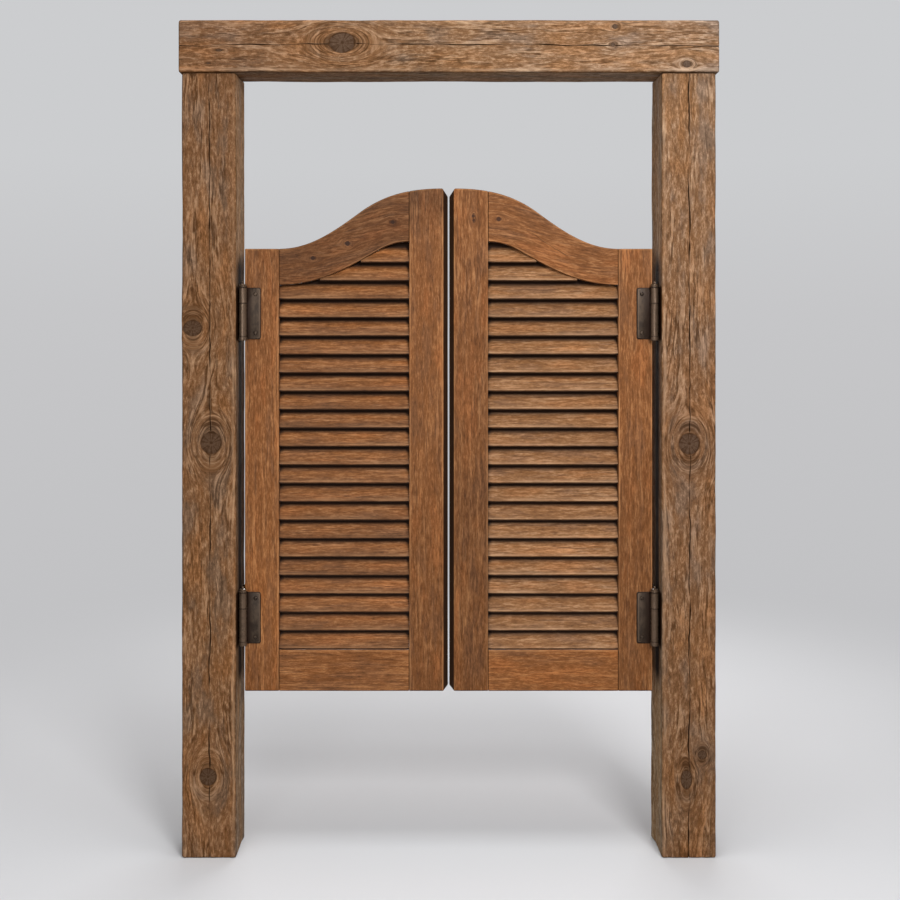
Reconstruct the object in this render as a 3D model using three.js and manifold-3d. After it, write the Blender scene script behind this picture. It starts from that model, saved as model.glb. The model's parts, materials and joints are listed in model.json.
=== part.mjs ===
// Cafe swinging doors: a timber portal with two louvred leaves on double-acting spring hinges.
// Millimetres, +Z up, front towards -Y. The origin is on the floor, midway between the posts.
// Each side is drawn once at +X, and mirrored for the left.
import * as THREE from "three";
import { mergeVertices } from "three/addons/utils/BufferGeometryUtils.js";
import Module from "manifold-3d";

// Clearances
const SEAT = 0.3; // between faces that rest on each other
const RUNNING = 0.6; // between faces that turn past each other
const CUT_MARGIN = 5; // how far a cutting tool runs past the faces that it opens

// Frame timbers
const OPENING_WIDTH = 1084;
const POST_SIDE = 138;
const POST_HEIGHT = 2000;
const LINTEL_HEIGHT = 133;
const LINTEL_END_OVERHANG = 8;
const LINTEL_FACE_OVERHANG = 6;
const TIMBER_ARRIS = 5; // radius of the worn edges
const END_CHAMFER = 3; // at the ends of the lintel, narrower than the arris
const POST_TENON_WIDTH = 80;
const POST_TENON_THICKNESS = 44;
const POST_TENON_LENGTH = 60;

// Lag screws
const LAG_RADIUS = 6;
const LAG_HEAD_RADIUS = 15;
const LAG_HEAD_HEIGHT = 9;
const LAG_LENGTH = 220;
const LAG_POINT = 10;
const LAG_SINK = 14; // depth of the counterbore over the head

// Leaves
const LEAF_THICKNESS = 40;
const LEAF_BOTTOM = 412;
const HINGE_STILE_LENGTH = 1142;
const LOCK_STILE_LENGTH = 1298;
const HINGE_GAP = 15.8; // leaf to post
const MEETING_GAP = 4; // leaf to leaf
const HINGE_STILE_WIDTH = 88;
const LOCK_STILE_WIDTH = 100;
const BOTTOM_RAIL_HEIGHT = 106;
const TOP_RAIL_HINGE_DEPTH = 93;
const TOP_RAIL_LOCK_DEPTH = 137;
const LEAF_ARRIS = 1.5;
const MEETING_BEVEL_WIDTH = 12; // along both faces of the meeting edge
const MEETING_BEVEL_DEPTH = 17;
const CORNER_CLIP_WIDTH = 14; // upper meeting corner
const CORNER_CLIP_HEIGHT = 20;
const FOOT_CLIP = 12; // lower meeting corner, as wide as it is tall
const TENON_LENGTH = 40;
const TENON_THICKNESS = 14;
const TENON_SHOULDER = 18;

// The two ogee curves of the top rail, as shares of their run and rise
const UPPER_OGEE = {
  turnRun: 0.49,
  turnRise: 0.594,
  steepness: 2,
  start: 0.178,
  before: 0.166,
  after: 0.142,
  end: 0.218,
};
const LOWER_OGEE = {
  turnRun: 0.67,
  turnRise: 0.64,
  steepness: 1.71,
  start: 0.25,
  before: 0.223,
  after: 0.119,
  end: 0.137,
};

// Louvres
const SLAT_PITCH = 47.6;
const SLAT_WIDTH = 64;
const SLAT_THICKNESS = 7;
const SLAT_TILT = THREE.MathUtils.degToRad(28); // from upright, lower edge to the front
const SLAT_SHOW = 20; // least height of a cut slat under the top rail
const STRIP_DEPTH = 6; // how far a strip sits in its stile
const STRIP_WIDTH = 16;
const STRIP_LAP = 0.8; // how far a strip laps the slat ends

// Hinges
const UPPER_HINGE_FROM_TOP = 167;
const LOWER_HINGE_FROM_BOTTOM = 190;
const BARREL_RADIUS = 10;
const COLLAR_PROUD = 0.8;
const COLLAR_CLEARANCE = 1.2; // collar to the face behind the plate
const PLATE_THICKNESS = 2.5;
const PLATE_HEIGHT = 133;
const PLATE_REACH = 45; // axis to the plate's free edge
const PLATE_CORNER = 6;
const PLATE_ROOT = 8; // width of the curl that joins a plate to its knuckle
const SHORT_KNUCKLE = 40.5;
const RING_HEIGHT = 2.5;
const FOOT_COLLAR_HEIGHT = 10.5;
const FOOT_DROP = 3; // knuckle foot below the plate
const FOOT_FLOOR = 5;
const WEB_THICKNESS = 3;
const WEB_LAP = 4; // how far the web runs into its knuckles
const SPRING_BORE_RADIUS = 7.5;

// Spindles and springs
const SPINDLE_RADIUS = 3.7;
const TENSION_COLLAR_HEIGHT = 5;
const CAP_RADIUS = 8.8; // the narrower ring on the tension collar
const CAP_HEIGHT = 4;
const TOMMY_HOLE_RADIUS = 1.2;
const FINIAL_RADIUS = 3.2;
const FINIAL_HEIGHT = 7.5;
const FINIAL_NECK_RADIUS = 2;
const WIRE = 1.8;
const SPRING_TURNS = 5;

// Wood screws of the hinge plates
const SCREW_RADIUS = 2;
const SCREW_LENGTH = 30;
const SCREW_POINT = 6;
const SCREW_HEAD_RADIUS = 4.6;
const SCREW_HEAD_HEIGHT = 2.2;
const SCREW_FROM_AXIS = 31.5;
const SCREW_SPREAD = 50; // above and below the plate's middle

// Straight pieces that round shapes are made of
const BARREL_SIDES = 14;
const ROUND_SIDES = 8;
const OGEE_STEPS = 8; // in each half of an ogee
const CORNER_PAIRS = 1; // pairs in a rounded corner
const NOSE_PAIRS = 2; // pairs in a slat's round nose
const SPRING_STEPS_PER_TURN = 6;

// Derived places
const POST_INNER = OPENING_WIDTH / 2;
const POST_OUTER = POST_INNER + POST_SIDE;
const POST_MIDDLE = POST_INNER + POST_SIDE / 2;
const LINTEL_BOTTOM = POST_HEIGHT + SEAT;
const LINTEL_TOP = LINTEL_BOTTOM + LINTEL_HEIGHT;
const LINTEL_DEPTH = POST_SIDE + 2 * LINTEL_FACE_OVERHANG;
const LINTEL_LENGTH = 2 * (POST_OUTER + LINTEL_END_OVERHANG);
const LEAF_OUTER = POST_INNER - HINGE_GAP;
const LEAF_INNER = MEETING_GAP / 2;
const LEAF_FACE = LEAF_THICKNESS / 2;
const HINGE_SEAM = LEAF_OUTER - HINGE_STILE_WIDTH;
const LOCK_SEAM = LEAF_INNER + LOCK_STILE_WIDTH;
const HINGE_STILE_TOP = LEAF_BOTTOM + HINGE_STILE_LENGTH;
const LOCK_STILE_TOP = LEAF_BOTTOM + LOCK_STILE_LENGTH;
const PANEL_BOTTOM = LEAF_BOTTOM + BOTTOM_RAIL_HEIGHT;
const PANEL_HINGE_TOP = HINGE_STILE_TOP - TOP_RAIL_HINGE_DEPTH;
const PANEL_LOCK_TOP = LOCK_STILE_TOP - TOP_RAIL_LOCK_DEPTH;
const COLLAR_RADIUS = BARREL_RADIUS + COLLAR_PROUD;
const AXIS_STANDOFF = COLLAR_RADIUS + COLLAR_CLEARANCE; // plate's seat to the barrel's axis
const AXIS_X = POST_INNER - AXIS_STANDOFF;
const AXIS_Y = LEAF_FACE + AXIS_STANDOFF; // the front axis is at -AXIS_Y, the rear one at +AXIS_Y
const PLATE_TOP = PLATE_HEIGHT / 2;
const KNUCKLE_JOINT = PLATE_TOP - SHORT_KNUCKLE;
const KNUCKLE_FOOT = -PLATE_TOP - FOOT_DROP;
const BORE_FLOOR = KNUCKLE_FOOT + FOOT_FLOOR;
const SPINDLE_BORE_RADIUS = SPINDLE_RADIUS + SEAT;
const SCREW_HOLE_RADIUS = SCREW_RADIUS + SEAT;
const HINGE_LEVELS = {
  upper: HINGE_STILE_TOP - UPPER_HINGE_FROM_TOP,
  lower: LEAF_BOTTOM + LOWER_HINGE_FROM_BOTTOM,
};

const TIMBER = { color: 0x7b5c40, roughness: 0.85, metalness: 0 };
const LEAF_WOOD = { color: 0x80502f, roughness: 0.6, metalness: 0 };
const BRONZE = { color: 0x4a423b, roughness: 0.45, metalness: 0.85 };
const STEEL = { color: 0x8c8c8c, roughness: 0.4, metalness: 0.9 };

const wasm = await Module();
wasm.setup();

// Planes that outlines are drawn in: plan is X and Y pushed upwards, front is X and Z pushed towards the
// front, and side is Y and Z pushed towards +X.
const AXES = [new THREE.Vector3(1, 0, 0), new THREE.Vector3(0, 1, 0), new THREE.Vector3(0, 0, 1)];
const PLAN = new THREE.Matrix4();
const FRONT = new THREE.Matrix4().makeBasis(AXES[0], AXES[2], AXES[1].clone().negate());
const SIDE = new THREE.Matrix4().makeBasis(AXES[1], AXES[2], AXES[0]);

// A closed geometry as a solid that can be joined and cut.
function solid(geometry) {
  geometry.deleteAttribute("normal");
  geometry.deleteAttribute("uv");
  const merged = mergeVertices(geometry);
  const corners = merged.index.array;
  const triangles = [];
  for (let i = 0; i < corners.length; i += 3) {
    const [a, b, c] = corners.slice(i, i + 3);
    if (a !== b && b !== c && c !== a) triangles.push(a, b, c);
  }
  const vertProperties = merged.attributes.position.array;
  const triVerts = new Uint32Array(triangles);
  return new wasm.Manifold(new wasm.Mesh({ numProp: 3, vertProperties, triVerts }));
}

// A named sub-part from a solid.
function subPart(name, shape, finish) {
  const { vertProperties, triVerts } = shape.getMesh();
  const geometry = new THREE.BufferGeometry();
  geometry.setAttribute("position", new THREE.BufferAttribute(vertProperties, 3));
  geometry.setIndex(new THREE.BufferAttribute(triVerts, 1));
  geometry.computeVertexNormals();
  const mesh = new THREE.Mesh(geometry, new THREE.MeshStandardMaterial(finish));
  mesh.name = name;
  return mesh;
}

// A box between two corners.
function block([x0, y0, z0], [x1, y1, z1]) {
  const box = new THREE.BoxGeometry(x1 - x0, y1 - y0, z1 - z0);
  return solid(box.translate((x0 + x1) / 2, (y0 + y1) / 2, (z0 + z1) / 2));
}

// An outline drawn in a plane and pushed through it by a depth, with its end edges eased by a chamfer.
function prism(outline, plane, depth, arris = 0, curveSegments = CORNER_PAIRS) {
  const geometry = new THREE.ExtrudeGeometry(outline, {
    depth: depth - 2 * arris,
    bevelEnabled: arris > 0,
    bevelThickness: arris,
    bevelSize: arris,
    bevelOffset: -arris,
    bevelSegments: 1,
    curveSegments,
  });
  return solid(geometry.translate(0, 0, arris).applyMatrix4(plane));
}

// A leaf piece: an outline in X and Z, as thick as the leaf, or as asked.
function leafBoard(points, thickness = LEAF_THICKNESS, arris = 0) {
  return prism(new THREE.Shape(points), FRONT, thickness, arris).translate(0, thickness / 2, 0);
}

// A turned piece on the Z axis, from radius and height pairs that run up its outside.
function turned(profile, sides) {
  const points = profile.map(([radius, height]) => new THREE.Vector2(radius, height));
  return solid(new THREE.LatheGeometry(points, sides).rotateX(Math.PI / 2));
}

// A plain round bar along Z.
function bar(radius, bottom, top, sides = ROUND_SIDES) {
  return turned([[0, bottom], [radius, bottom], [radius, top], [0, top]], sides);
}

function point(x, y) {
  return new THREE.Vector2(x, y);
}

function rectangle(x0, z0, x1, z1) {
  return [point(x0, z0), point(x1, z0), point(x1, z1), point(x0, z1)];
}

function roundedRectangle(width, height, radius) {
  const shape = new THREE.Shape();
  const [x, y] = [width / 2 - radius, height / 2 - radius];
  shape.absarc(x, -y, radius, -Math.PI / 2, 0);
  shape.absarc(x, y, radius, 0, Math.PI / 2);
  shape.absarc(-x, y, radius, Math.PI / 2, Math.PI);
  shape.absarc(-x, -y, radius, Math.PI, 1.5 * Math.PI);
  return shape;
}

// An S curve from one level point to another, in two cubic halves that meet at the turn.
function ogee(from, to, share) {
  const run = to.x - from.x;
  const rise = to.y - from.y;
  const turn = point(from.x + run * share.turnRun, from.y + rise * share.turnRise);
  const along = (length) => point(run * length, rise * length * share.steepness);
  const level = (length) => point(run * length, 0);
  const halves = [
    [from, from.clone().add(level(share.start)), turn.clone().sub(along(share.before)), turn],
    [turn, turn.clone().add(along(share.after)), to.clone().sub(level(share.end)), to],
  ];
  const points = halves.map((half) => new THREE.CubicBezierCurve(...half).getPoints(OGEE_STEPS));
  return [...points[0], ...points[1].slice(1)];
}

// The height of a curve that runs towards -X, at a place along X.
function heightOn(curve, x) {
  const next = curve.findIndex((spot) => spot.x <= x);
  const [before, after] = [curve[next - 1], curve[next]];
  return THREE.MathUtils.mapLinear(x, before.x, after.x, before.y, after.y);
}

const upperOgee = ogee(
  point(HINGE_SEAM, HINGE_STILE_TOP),
  point(LEAF_INNER + CORNER_CLIP_WIDTH, LOCK_STILE_TOP),
  UPPER_OGEE,
);
const lowerOgee = ogee(point(HINGE_SEAM, PANEL_HINGE_TOP), point(LOCK_SEAM, PANEL_LOCK_TOP), LOWER_OGEE);
const TOP_RAIL_LOCK_HEIGHT = heightOn(upperOgee, LOCK_SEAM);
const TOP_RAIL_SPAN = {
  hinge: [PANEL_HINGE_TOP, HINGE_STILE_TOP],
  lock: [PANEL_LOCK_TOP, TOP_RAIL_LOCK_HEIGHT],
};
const BOTTOM_RAIL_SPAN = { hinge: [LEAF_BOTTOM, PANEL_BOTTOM], lock: [LEAF_BOTTOM, PANEL_BOTTOM] };

// Frame timbers

function lagHole() {
  const headTop = LINTEL_TOP - LAG_SINK;
  const counterbore = bar(LAG_HEAD_RADIUS + SEAT, headTop - LAG_HEAD_HEIGHT - SEAT, LINTEL_TOP + CUT_MARGIN);
  const shank = bar(LAG_RADIUS + SEAT, headTop - LAG_LENGTH - SEAT, LINTEL_TOP);
  return shank.add(counterbore).translate(POST_MIDDLE, 0, 0);
}

function lagScrew() {
  const headTop = LINTEL_TOP - LAG_SINK;
  const headBottom = headTop - LAG_HEAD_HEIGHT;
  const tip = headTop - LAG_LENGTH;
  const profile = [[0, tip], [LAG_RADIUS, tip + LAG_POINT], [LAG_RADIUS, headBottom]];
  profile.push([LAG_HEAD_RADIUS, headBottom], [LAG_HEAD_RADIUS, headTop], [0, headTop]);
  return turned(profile, ROUND_SIDES).translate(POST_MIDDLE, 0, 0);
}

function postTenon(clearance) {
  const [x, y] = [POST_TENON_WIDTH / 2 + clearance, POST_TENON_THICKNESS / 2 + clearance];
  const bottom = POST_HEIGHT - POST_TENON_LENGTH;
  const top = POST_HEIGHT + POST_TENON_LENGTH + clearance;
  return block([POST_MIDDLE - x, -y, bottom], [POST_MIDDLE + x, y, top]);
}

function post() {
  const stick = prism(roundedRectangle(POST_SIDE, POST_SIDE, TIMBER_ARRIS), PLAN, POST_HEIGHT);
  let shape = stick.translate(POST_MIDDLE, 0, 0).add(postTenon(0)).subtract(lagHole());
  for (const level of Object.values(HINGE_LEVELS)) {
    for (const height of [level - SCREW_SPREAD, level + SCREW_SPREAD]) {
      const pilot = screwHole().rotate([0, 90, 0]);
      shape = shape.subtract(pilot.translate(POST_INNER, AXIS_Y - SCREW_FROM_AXIS, height));
    }
  }
  return shape;
}

function lintel() {
  const section = roundedRectangle(LINTEL_DEPTH, LINTEL_HEIGHT, TIMBER_ARRIS);
  let shape = prism(section, SIDE, LINTEL_LENGTH, END_CHAMFER);
  shape = shape.translate(-LINTEL_LENGTH / 2, 0, LINTEL_BOTTOM + LINTEL_HEIGHT / 2);
  const joint = postTenon(SEAT).add(lagHole());
  return shape.subtract(joint).subtract(joint.mirror([1, 0, 0]));
}

// Leaves

// A tenon, or with a clearance its mortise, that runs from inside a rail past a seam into a stile.
function tenon(seam, outwards, low, high, clearance) {
  const root = seam - outwards * CUT_MARGIN;
  const end = seam + outwards * (TENON_LENGTH + clearance);
  const y = TENON_THICKNESS / 2 + clearance;
  const bottom = low + TENON_SHOULDER - clearance;
  const top = high - TENON_SHOULDER + clearance;
  return block([Math.min(root, end), -y, bottom], [Math.max(root, end), y, top]);
}

// Both tenons of a rail, which spans the heights given at each seam.
function tenonPair(span, clearance) {
  const hingeTenon = tenon(HINGE_SEAM, 1, ...span.hinge, clearance);
  return hingeTenon.add(tenon(LOCK_SEAM, -1, ...span.lock, clearance));
}

function mortises() {
  return tenonPair(TOP_RAIL_SPAN, SEAT).add(tenonPair(BOTTOM_RAIL_SPAN, SEAT));
}

// The strip that holds the slat ends, or with a clearance its groove in the stile.
function strip(seam, outwards, top, clearance) {
  const inner = seam - outwards * (SEAT + STRIP_LAP);
  const outer = seam + outwards * (STRIP_DEPTH + clearance);
  const y = STRIP_WIDTH / 2 + clearance;
  const end = SEAT - clearance;
  return block([Math.min(inner, outer), -y, PANEL_BOTTOM + end], [Math.max(inner, outer), y, top - end]);
}

function hingeStile() {
  const outline = rectangle(HINGE_SEAM, LEAF_BOTTOM, LEAF_OUTER, HINGE_STILE_TOP);
  let shape = leafBoard(outline, LEAF_THICKNESS, LEAF_ARRIS);
  shape = shape.subtract(mortises()).subtract(strip(HINGE_SEAM, 1, PANEL_HINGE_TOP, SEAT));
  for (const level of Object.values(HINGE_LEVELS)) {
    for (const height of [level - SCREW_SPREAD, level + SCREW_SPREAD]) {
      const pilot = screwHole().rotate([-90, 0, 0]);
      shape = shape.subtract(pilot.translate(AXIS_X - SCREW_FROM_AXIS, -LEAF_FACE, height));
    }
  }
  return shape;
}

function lockStile() {
  const bevelled = LEAF_FACE - MEETING_BEVEL_DEPTH;
  const section = new THREE.Shape([
    point(LEAF_INNER, -bevelled),
    point(LEAF_INNER + MEETING_BEVEL_WIDTH, -LEAF_FACE),
    point(LOCK_SEAM, -LEAF_FACE),
    point(LOCK_SEAM, LEAF_FACE),
    point(LEAF_INNER + MEETING_BEVEL_WIDTH, LEAF_FACE),
    point(LEAF_INNER, bevelled),
  ]);
  const stick = prism(section, PLAN, LOCK_STILE_LENGTH).translate(0, 0, LEAF_BOTTOM);
  const silhouette = leafBoard([
    point(LEAF_INNER, LEAF_BOTTOM + FOOT_CLIP),
    point(LEAF_INNER + FOOT_CLIP, LEAF_BOTTOM),
    point(HINGE_SEAM, LEAF_BOTTOM),
    ...upperOgee,
    point(LEAF_INNER, LOCK_STILE_TOP - CORNER_CLIP_HEIGHT),
  ], LEAF_THICKNESS + CUT_MARGIN);
  const shape = stick.intersect(silhouette).subtract(mortises());
  return shape.subtract(strip(LOCK_SEAM, -1, PANEL_LOCK_TOP, SEAT));
}

function topRail() {
  const between = (spot) => spot.x > LOCK_SEAM + SEAT && spot.x < HINGE_SEAM - SEAT;
  const upper = upperOgee.filter(between);
  const lower = lowerOgee.filter(between);
  const outline = [
    point(HINGE_SEAM - SEAT, PANEL_HINGE_TOP),
    point(HINGE_SEAM - SEAT, HINGE_STILE_TOP),
    ...upper,
    point(LOCK_SEAM + SEAT, TOP_RAIL_LOCK_HEIGHT),
    point(LOCK_SEAM + SEAT, PANEL_LOCK_TOP),
    ...lower.reverse(),
  ];
  return leafBoard(outline, LEAF_THICKNESS, LEAF_ARRIS).add(tenonPair(TOP_RAIL_SPAN, 0));
}

function bottomRail() {
  const outline = rectangle(LOCK_SEAM + SEAT, LEAF_BOTTOM, HINGE_SEAM - SEAT, PANEL_BOTTOM);
  return leafBoard(outline, LEAF_THICKNESS, LEAF_ARRIS).add(tenonPair(BOTTOM_RAIL_SPAN, 0));
}

// One slat's section in Y and Z, with its round nose at the front and its foot at height zero.
function slatSection() {
  const radius = SLAT_THICKNESS / 2;
  const reach = SLAT_WIDTH - radius;
  const along = point(Math.sin(SLAT_TILT), Math.cos(SLAT_TILT));
  const across = point(Math.cos(SLAT_TILT), -Math.sin(SLAT_TILT));
  const nose = point((-reach * along.x) / 2, radius);
  const back = nose.clone().addScaledVector(along, reach);
  const shape = new THREE.Shape();
  const face = Math.atan2(-across.y, -across.x);
  shape.absarc(nose.x, nose.y, radius, face, face + Math.PI);
  shape.lineTo(back.x + across.x * radius, back.y + across.y * radius);
  shape.lineTo(back.x - across.x * radius, back.y - across.y * radius);
  return shape;
}

function louvreBank() {
  const length = HINGE_SEAM - LOCK_SEAM - 2 * SEAT;
  const slat = prism(slatSection(), SIDE, length, 0, NOSE_PAIRS).translate(LOCK_SEAM + SEAT, 0, 0);
  let bank = strip(HINGE_SEAM, 1, PANEL_HINGE_TOP, 0).add(strip(LOCK_SEAM, -1, PANEL_LOCK_TOP, 0));
  for (let foot = PANEL_BOTTOM + SEAT; foot < PANEL_LOCK_TOP - SLAT_SHOW; foot += SLAT_PITCH) {
    bank = bank.add(slat.translate(0, 0, foot));
  }
  const railZone = leafBoard([
    point(LEAF_OUTER, PANEL_HINGE_TOP - SEAT),
    point(LEAF_OUTER, POST_HEIGHT),
    point(LEAF_INNER, POST_HEIGHT),
    point(LEAF_INNER, PANEL_LOCK_TOP - SEAT),
    ...lowerOgee.map((spot) => point(spot.x, spot.y - SEAT)).reverse(),
  ]);
  return bank.subtract(railZone);
}

// Hinges, drawn about the barrel's axis with the plate's middle at height zero

// A screw's pilot hole along Z, from its mouth at height zero.
function screwHole() {
  return bar(SCREW_HOLE_RADIUS, -CUT_MARGIN, SCREW_LENGTH + SEAT);
}

// A wood screw along Z: its point up, and its head under height zero, seated on a plate.
function screw() {
  const headTop = -PLATE_THICKNESS - 2 * SEAT;
  const headBottom = headTop - SCREW_HEAD_HEIGHT;
  const profile = [
    [0, headBottom],
    [SCREW_HEAD_RADIUS / 2, headBottom],
    [SCREW_HEAD_RADIUS, headTop - SCREW_HEAD_HEIGHT / 2],
    [SCREW_HEAD_RADIUS, headTop],
    [SCREW_RADIUS, headTop],
    [SCREW_RADIUS, SCREW_LENGTH - SCREW_POINT],
    [0, SCREW_LENGTH],
  ];
  return turned(profile, ROUND_SIDES);
}

// A screwed plate with its long sprung knuckle. The plate runs to -X, and lies on the side given, +Y or -Y.
function flap(side) {
  const knuckle = turned([
    [0, KNUCKLE_FOOT],
    [COLLAR_RADIUS, KNUCKLE_FOOT],
    [COLLAR_RADIUS, KNUCKLE_FOOT + FOOT_COLLAR_HEIGHT],
    [BARREL_RADIUS, KNUCKLE_FOOT + FOOT_COLLAR_HEIGHT],
    [BARREL_RADIUS, KNUCKLE_JOINT],
    [0, KNUCKLE_JOINT],
  ], BARREL_SIDES);
  const plateBack = AXIS_STANDOFF - SEAT;
  const plateFront = plateBack - PLATE_THICKNESS;
  const inset = Math.sqrt((COLLAR_RADIUS + RUNNING) ** 2 - plateFront ** 2); // clears the web's knuckle
  const outline = new THREE.Shape();
  outline.moveTo(0, -PLATE_TOP);
  outline.lineTo(0, KNUCKLE_JOINT);
  outline.lineTo(-inset, KNUCKLE_JOINT);
  outline.lineTo(-inset, PLATE_TOP);
  outline.absarc(PLATE_CORNER - PLATE_REACH, PLATE_TOP - PLATE_CORNER, PLATE_CORNER, Math.PI / 2, Math.PI);
  outline.absarc(PLATE_CORNER - PLATE_REACH, PLATE_CORNER - PLATE_TOP, PLATE_CORNER, Math.PI, 1.5 * Math.PI);
  const middle = (side * (plateBack + plateFront)) / 2;
  let plate = prism(outline, FRONT, PLATE_THICKNESS).translate(0, middle + PLATE_THICKNESS / 2, 0);
  for (const height of [-SCREW_SPREAD, SCREW_SPREAD]) {
    const hole = bar(SCREW_HOLE_RADIUS, -AXIS_STANDOFF, AXIS_STANDOFF).rotate([-90, 0, 0]);
    plate = plate.subtract(hole.translate(-SCREW_FROM_AXIS, middle, height));
  }
  const curl = block(
    [-PLATE_ROOT, Math.min(0, side * plateBack), -PLATE_TOP],
    [0, Math.max(0, side * plateBack), KNUCKLE_JOINT],
  );
  const bore = bar(SPRING_BORE_RADIUS, BORE_FLOOR, KNUCKLE_JOINT + CUT_MARGIN, BARREL_SIDES);
  return knuckle.add(plate).add(curl).subtract(bore);
}

// The web that joins the front and rear barrels by its two short knuckles, drawn about the hinge's middle.
function centreWeb() {
  const bottom = KNUCKLE_JOINT + SEAT;
  const knuckle = turned([
    [0, bottom],
    [COLLAR_RADIUS, bottom],
    [COLLAR_RADIUS, bottom + RING_HEIGHT],
    [BARREL_RADIUS, bottom + RING_HEIGHT],
    [BARREL_RADIUS, PLATE_TOP],
    [0, PLATE_TOP],
  ], BARREL_SIDES);
  const x = WEB_THICKNESS / 2;
  const inner = AXIS_Y - AXIS_STANDOFF - RUNNING;
  const outer = AXIS_Y - BARREL_RADIUS + WEB_LAP;
  let shape = block([-x, -inner, -PLATE_TOP], [x, inner, PLATE_TOP]);
  shape = shape.add(block([-x, -outer, bottom], [x, outer, PLATE_TOP]));
  for (const y of [-AXIS_Y, AXIS_Y]) {
    const bore = bar(SPINDLE_BORE_RADIUS, bottom - CUT_MARGIN, PLATE_TOP + CUT_MARGIN, BARREL_SIDES);
    shape = shape.add(knuckle.translate(0, y, 0)).subtract(bore.translate(0, y, 0));
  }
  return shape;
}

// A spindle: the pin through both knuckles, the tension collar with its tommy-bar hole, its cap and finial.
function spindle() {
  const collarBottom = PLATE_TOP + SEAT;
  const collarTop = collarBottom + TENSION_COLLAR_HEIGHT;
  const capTop = collarTop + CAP_HEIGHT;
  const shape = turned([
    [0, BORE_FLOOR + SEAT],
    [SPINDLE_RADIUS, BORE_FLOOR + SEAT],
    [SPINDLE_RADIUS, collarBottom],
    [COLLAR_RADIUS, collarBottom],
    [COLLAR_RADIUS, collarTop],
    [CAP_RADIUS, collarTop],
    [CAP_RADIUS, capTop],
    [FINIAL_NECK_RADIUS, capTop],
    [FINIAL_RADIUS, capTop + FINIAL_HEIGHT / 2],
    [0, capTop + FINIAL_HEIGHT],
  ], BARREL_SIDES);
  const tommyHole = bar(TOMMY_HOLE_RADIUS, -COLLAR_RADIUS - CUT_MARGIN, COLLAR_RADIUS + CUT_MARGIN);
  return shape.subtract(tommyHole.rotate([90, 0, 0]).translate(0, 0, (collarBottom + collarTop) / 2));
}

class Helix extends THREE.Curve {
  constructor(radius, bottom, top, turns) {
    super();
    Object.assign(this, { radius, bottom, top, turns });
  }

  getPoint(t, target = new THREE.Vector3()) {
    const angle = 2 * Math.PI * this.turns * t;
    const height = this.bottom + (this.top - this.bottom) * t;
    return target.set(this.radius * Math.cos(angle), this.radius * Math.sin(angle), height);
  }
}

// The torsion spring in a long knuckle, seated on the floor of the bore.
function spring() {
  const radius = (SPINDLE_RADIUS + SPRING_BORE_RADIUS) / 2;
  const path = new Helix(radius, BORE_FLOOR + SEAT + WIRE / 2, KNUCKLE_JOINT - WIRE / 2, SPRING_TURNS);
  const section = new THREE.Shape(rectangle(-WIRE / 2, -WIRE / 2, WIRE / 2, WIRE / 2));
  const steps = SPRING_TURNS * SPRING_STEPS_PER_TURN;
  return solid(new THREE.ExtrudeGeometry(section, { steps, extrudePath: path }));
}

// One hinge of a side, with its pieces named after that side and level.
function hinge(side, level) {
  const group = new THREE.Group();
  const add = (name, shape, finish) => group.add(subPart(`${side}_${level}_${name}`, shape, finish));
  const front = [AXIS_X, -AXIS_Y, 0];
  const rear = [AXIS_X, AXIS_Y, 0];
  add("door_plate", flap(1).translate(front), BRONZE);
  add("jamb_plate", flap(-1).rotate([0, 0, 90]).translate(rear), BRONZE);
  add("centre_web", centreWeb().translate(AXIS_X, 0, 0), BRONZE);
  add("front_spindle", spindle().translate(front), BRONZE);
  add("rear_spindle", spindle().translate(rear), BRONZE);
  add("front_spring", spring().translate(front), STEEL);
  add("rear_spring", spring().translate(rear), STEEL);
  const doorScrew = screw().rotate([-90, 0, 0]).translate(AXIS_X - SCREW_FROM_AXIS, -LEAF_FACE, 0);
  const jambScrew = screw().rotate([0, 90, 0]).translate(POST_INNER, AXIS_Y - SCREW_FROM_AXIS, 0);
  [SCREW_SPREAD, -SCREW_SPREAD].forEach((height, index) => {
    add(`door_screw_${index + 1}`, doorScrew.translate(0, 0, height), BRONZE);
    add(`jamb_screw_${index + 1}`, jambScrew.translate(0, 0, height), BRONZE);
  });
  group.position.z = HINGE_LEVELS[level];
  return group;
}

// A post, its leaf and its hinges.
function halfOf(side) {
  const group = new THREE.Group();
  group.add(subPart(`${side}_post`, post(), TIMBER));
  group.add(subPart(`${side}_lag_screw`, lagScrew(), STEEL));
  group.add(subPart(`${side}_hinge_stile`, hingeStile(), LEAF_WOOD));
  group.add(subPart(`${side}_lock_stile`, lockStile(), LEAF_WOOD));
  group.add(subPart(`${side}_top_rail`, topRail(), LEAF_WOOD));
  group.add(subPart(`${side}_bottom_rail`, bottomRail(), LEAF_WOOD));
  group.add(subPart(`${side}_louvre_bank`, louvreBank(), LEAF_WOOD));
  for (const level of Object.keys(HINGE_LEVELS)) group.add(hinge(side, level));
  return group;
}

const doors = new THREE.Group();
const left = halfOf("left");
left.scale.x = -1;
doors.add(left, halfOf("right"), subPart("lintel", lintel(), TIMBER));

export default doors;
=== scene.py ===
# Cafe swinging doors: the looks of the timber portal, its two louvred leaves and their spring hinges.
# Metres, +Z up, front towards -Y. A piece is drawn where the node is that it stands for.
import json
import math
from dataclasses import dataclass, field

import bpy
import numpy as np
from mathutils import Matrix, Vector

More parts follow.
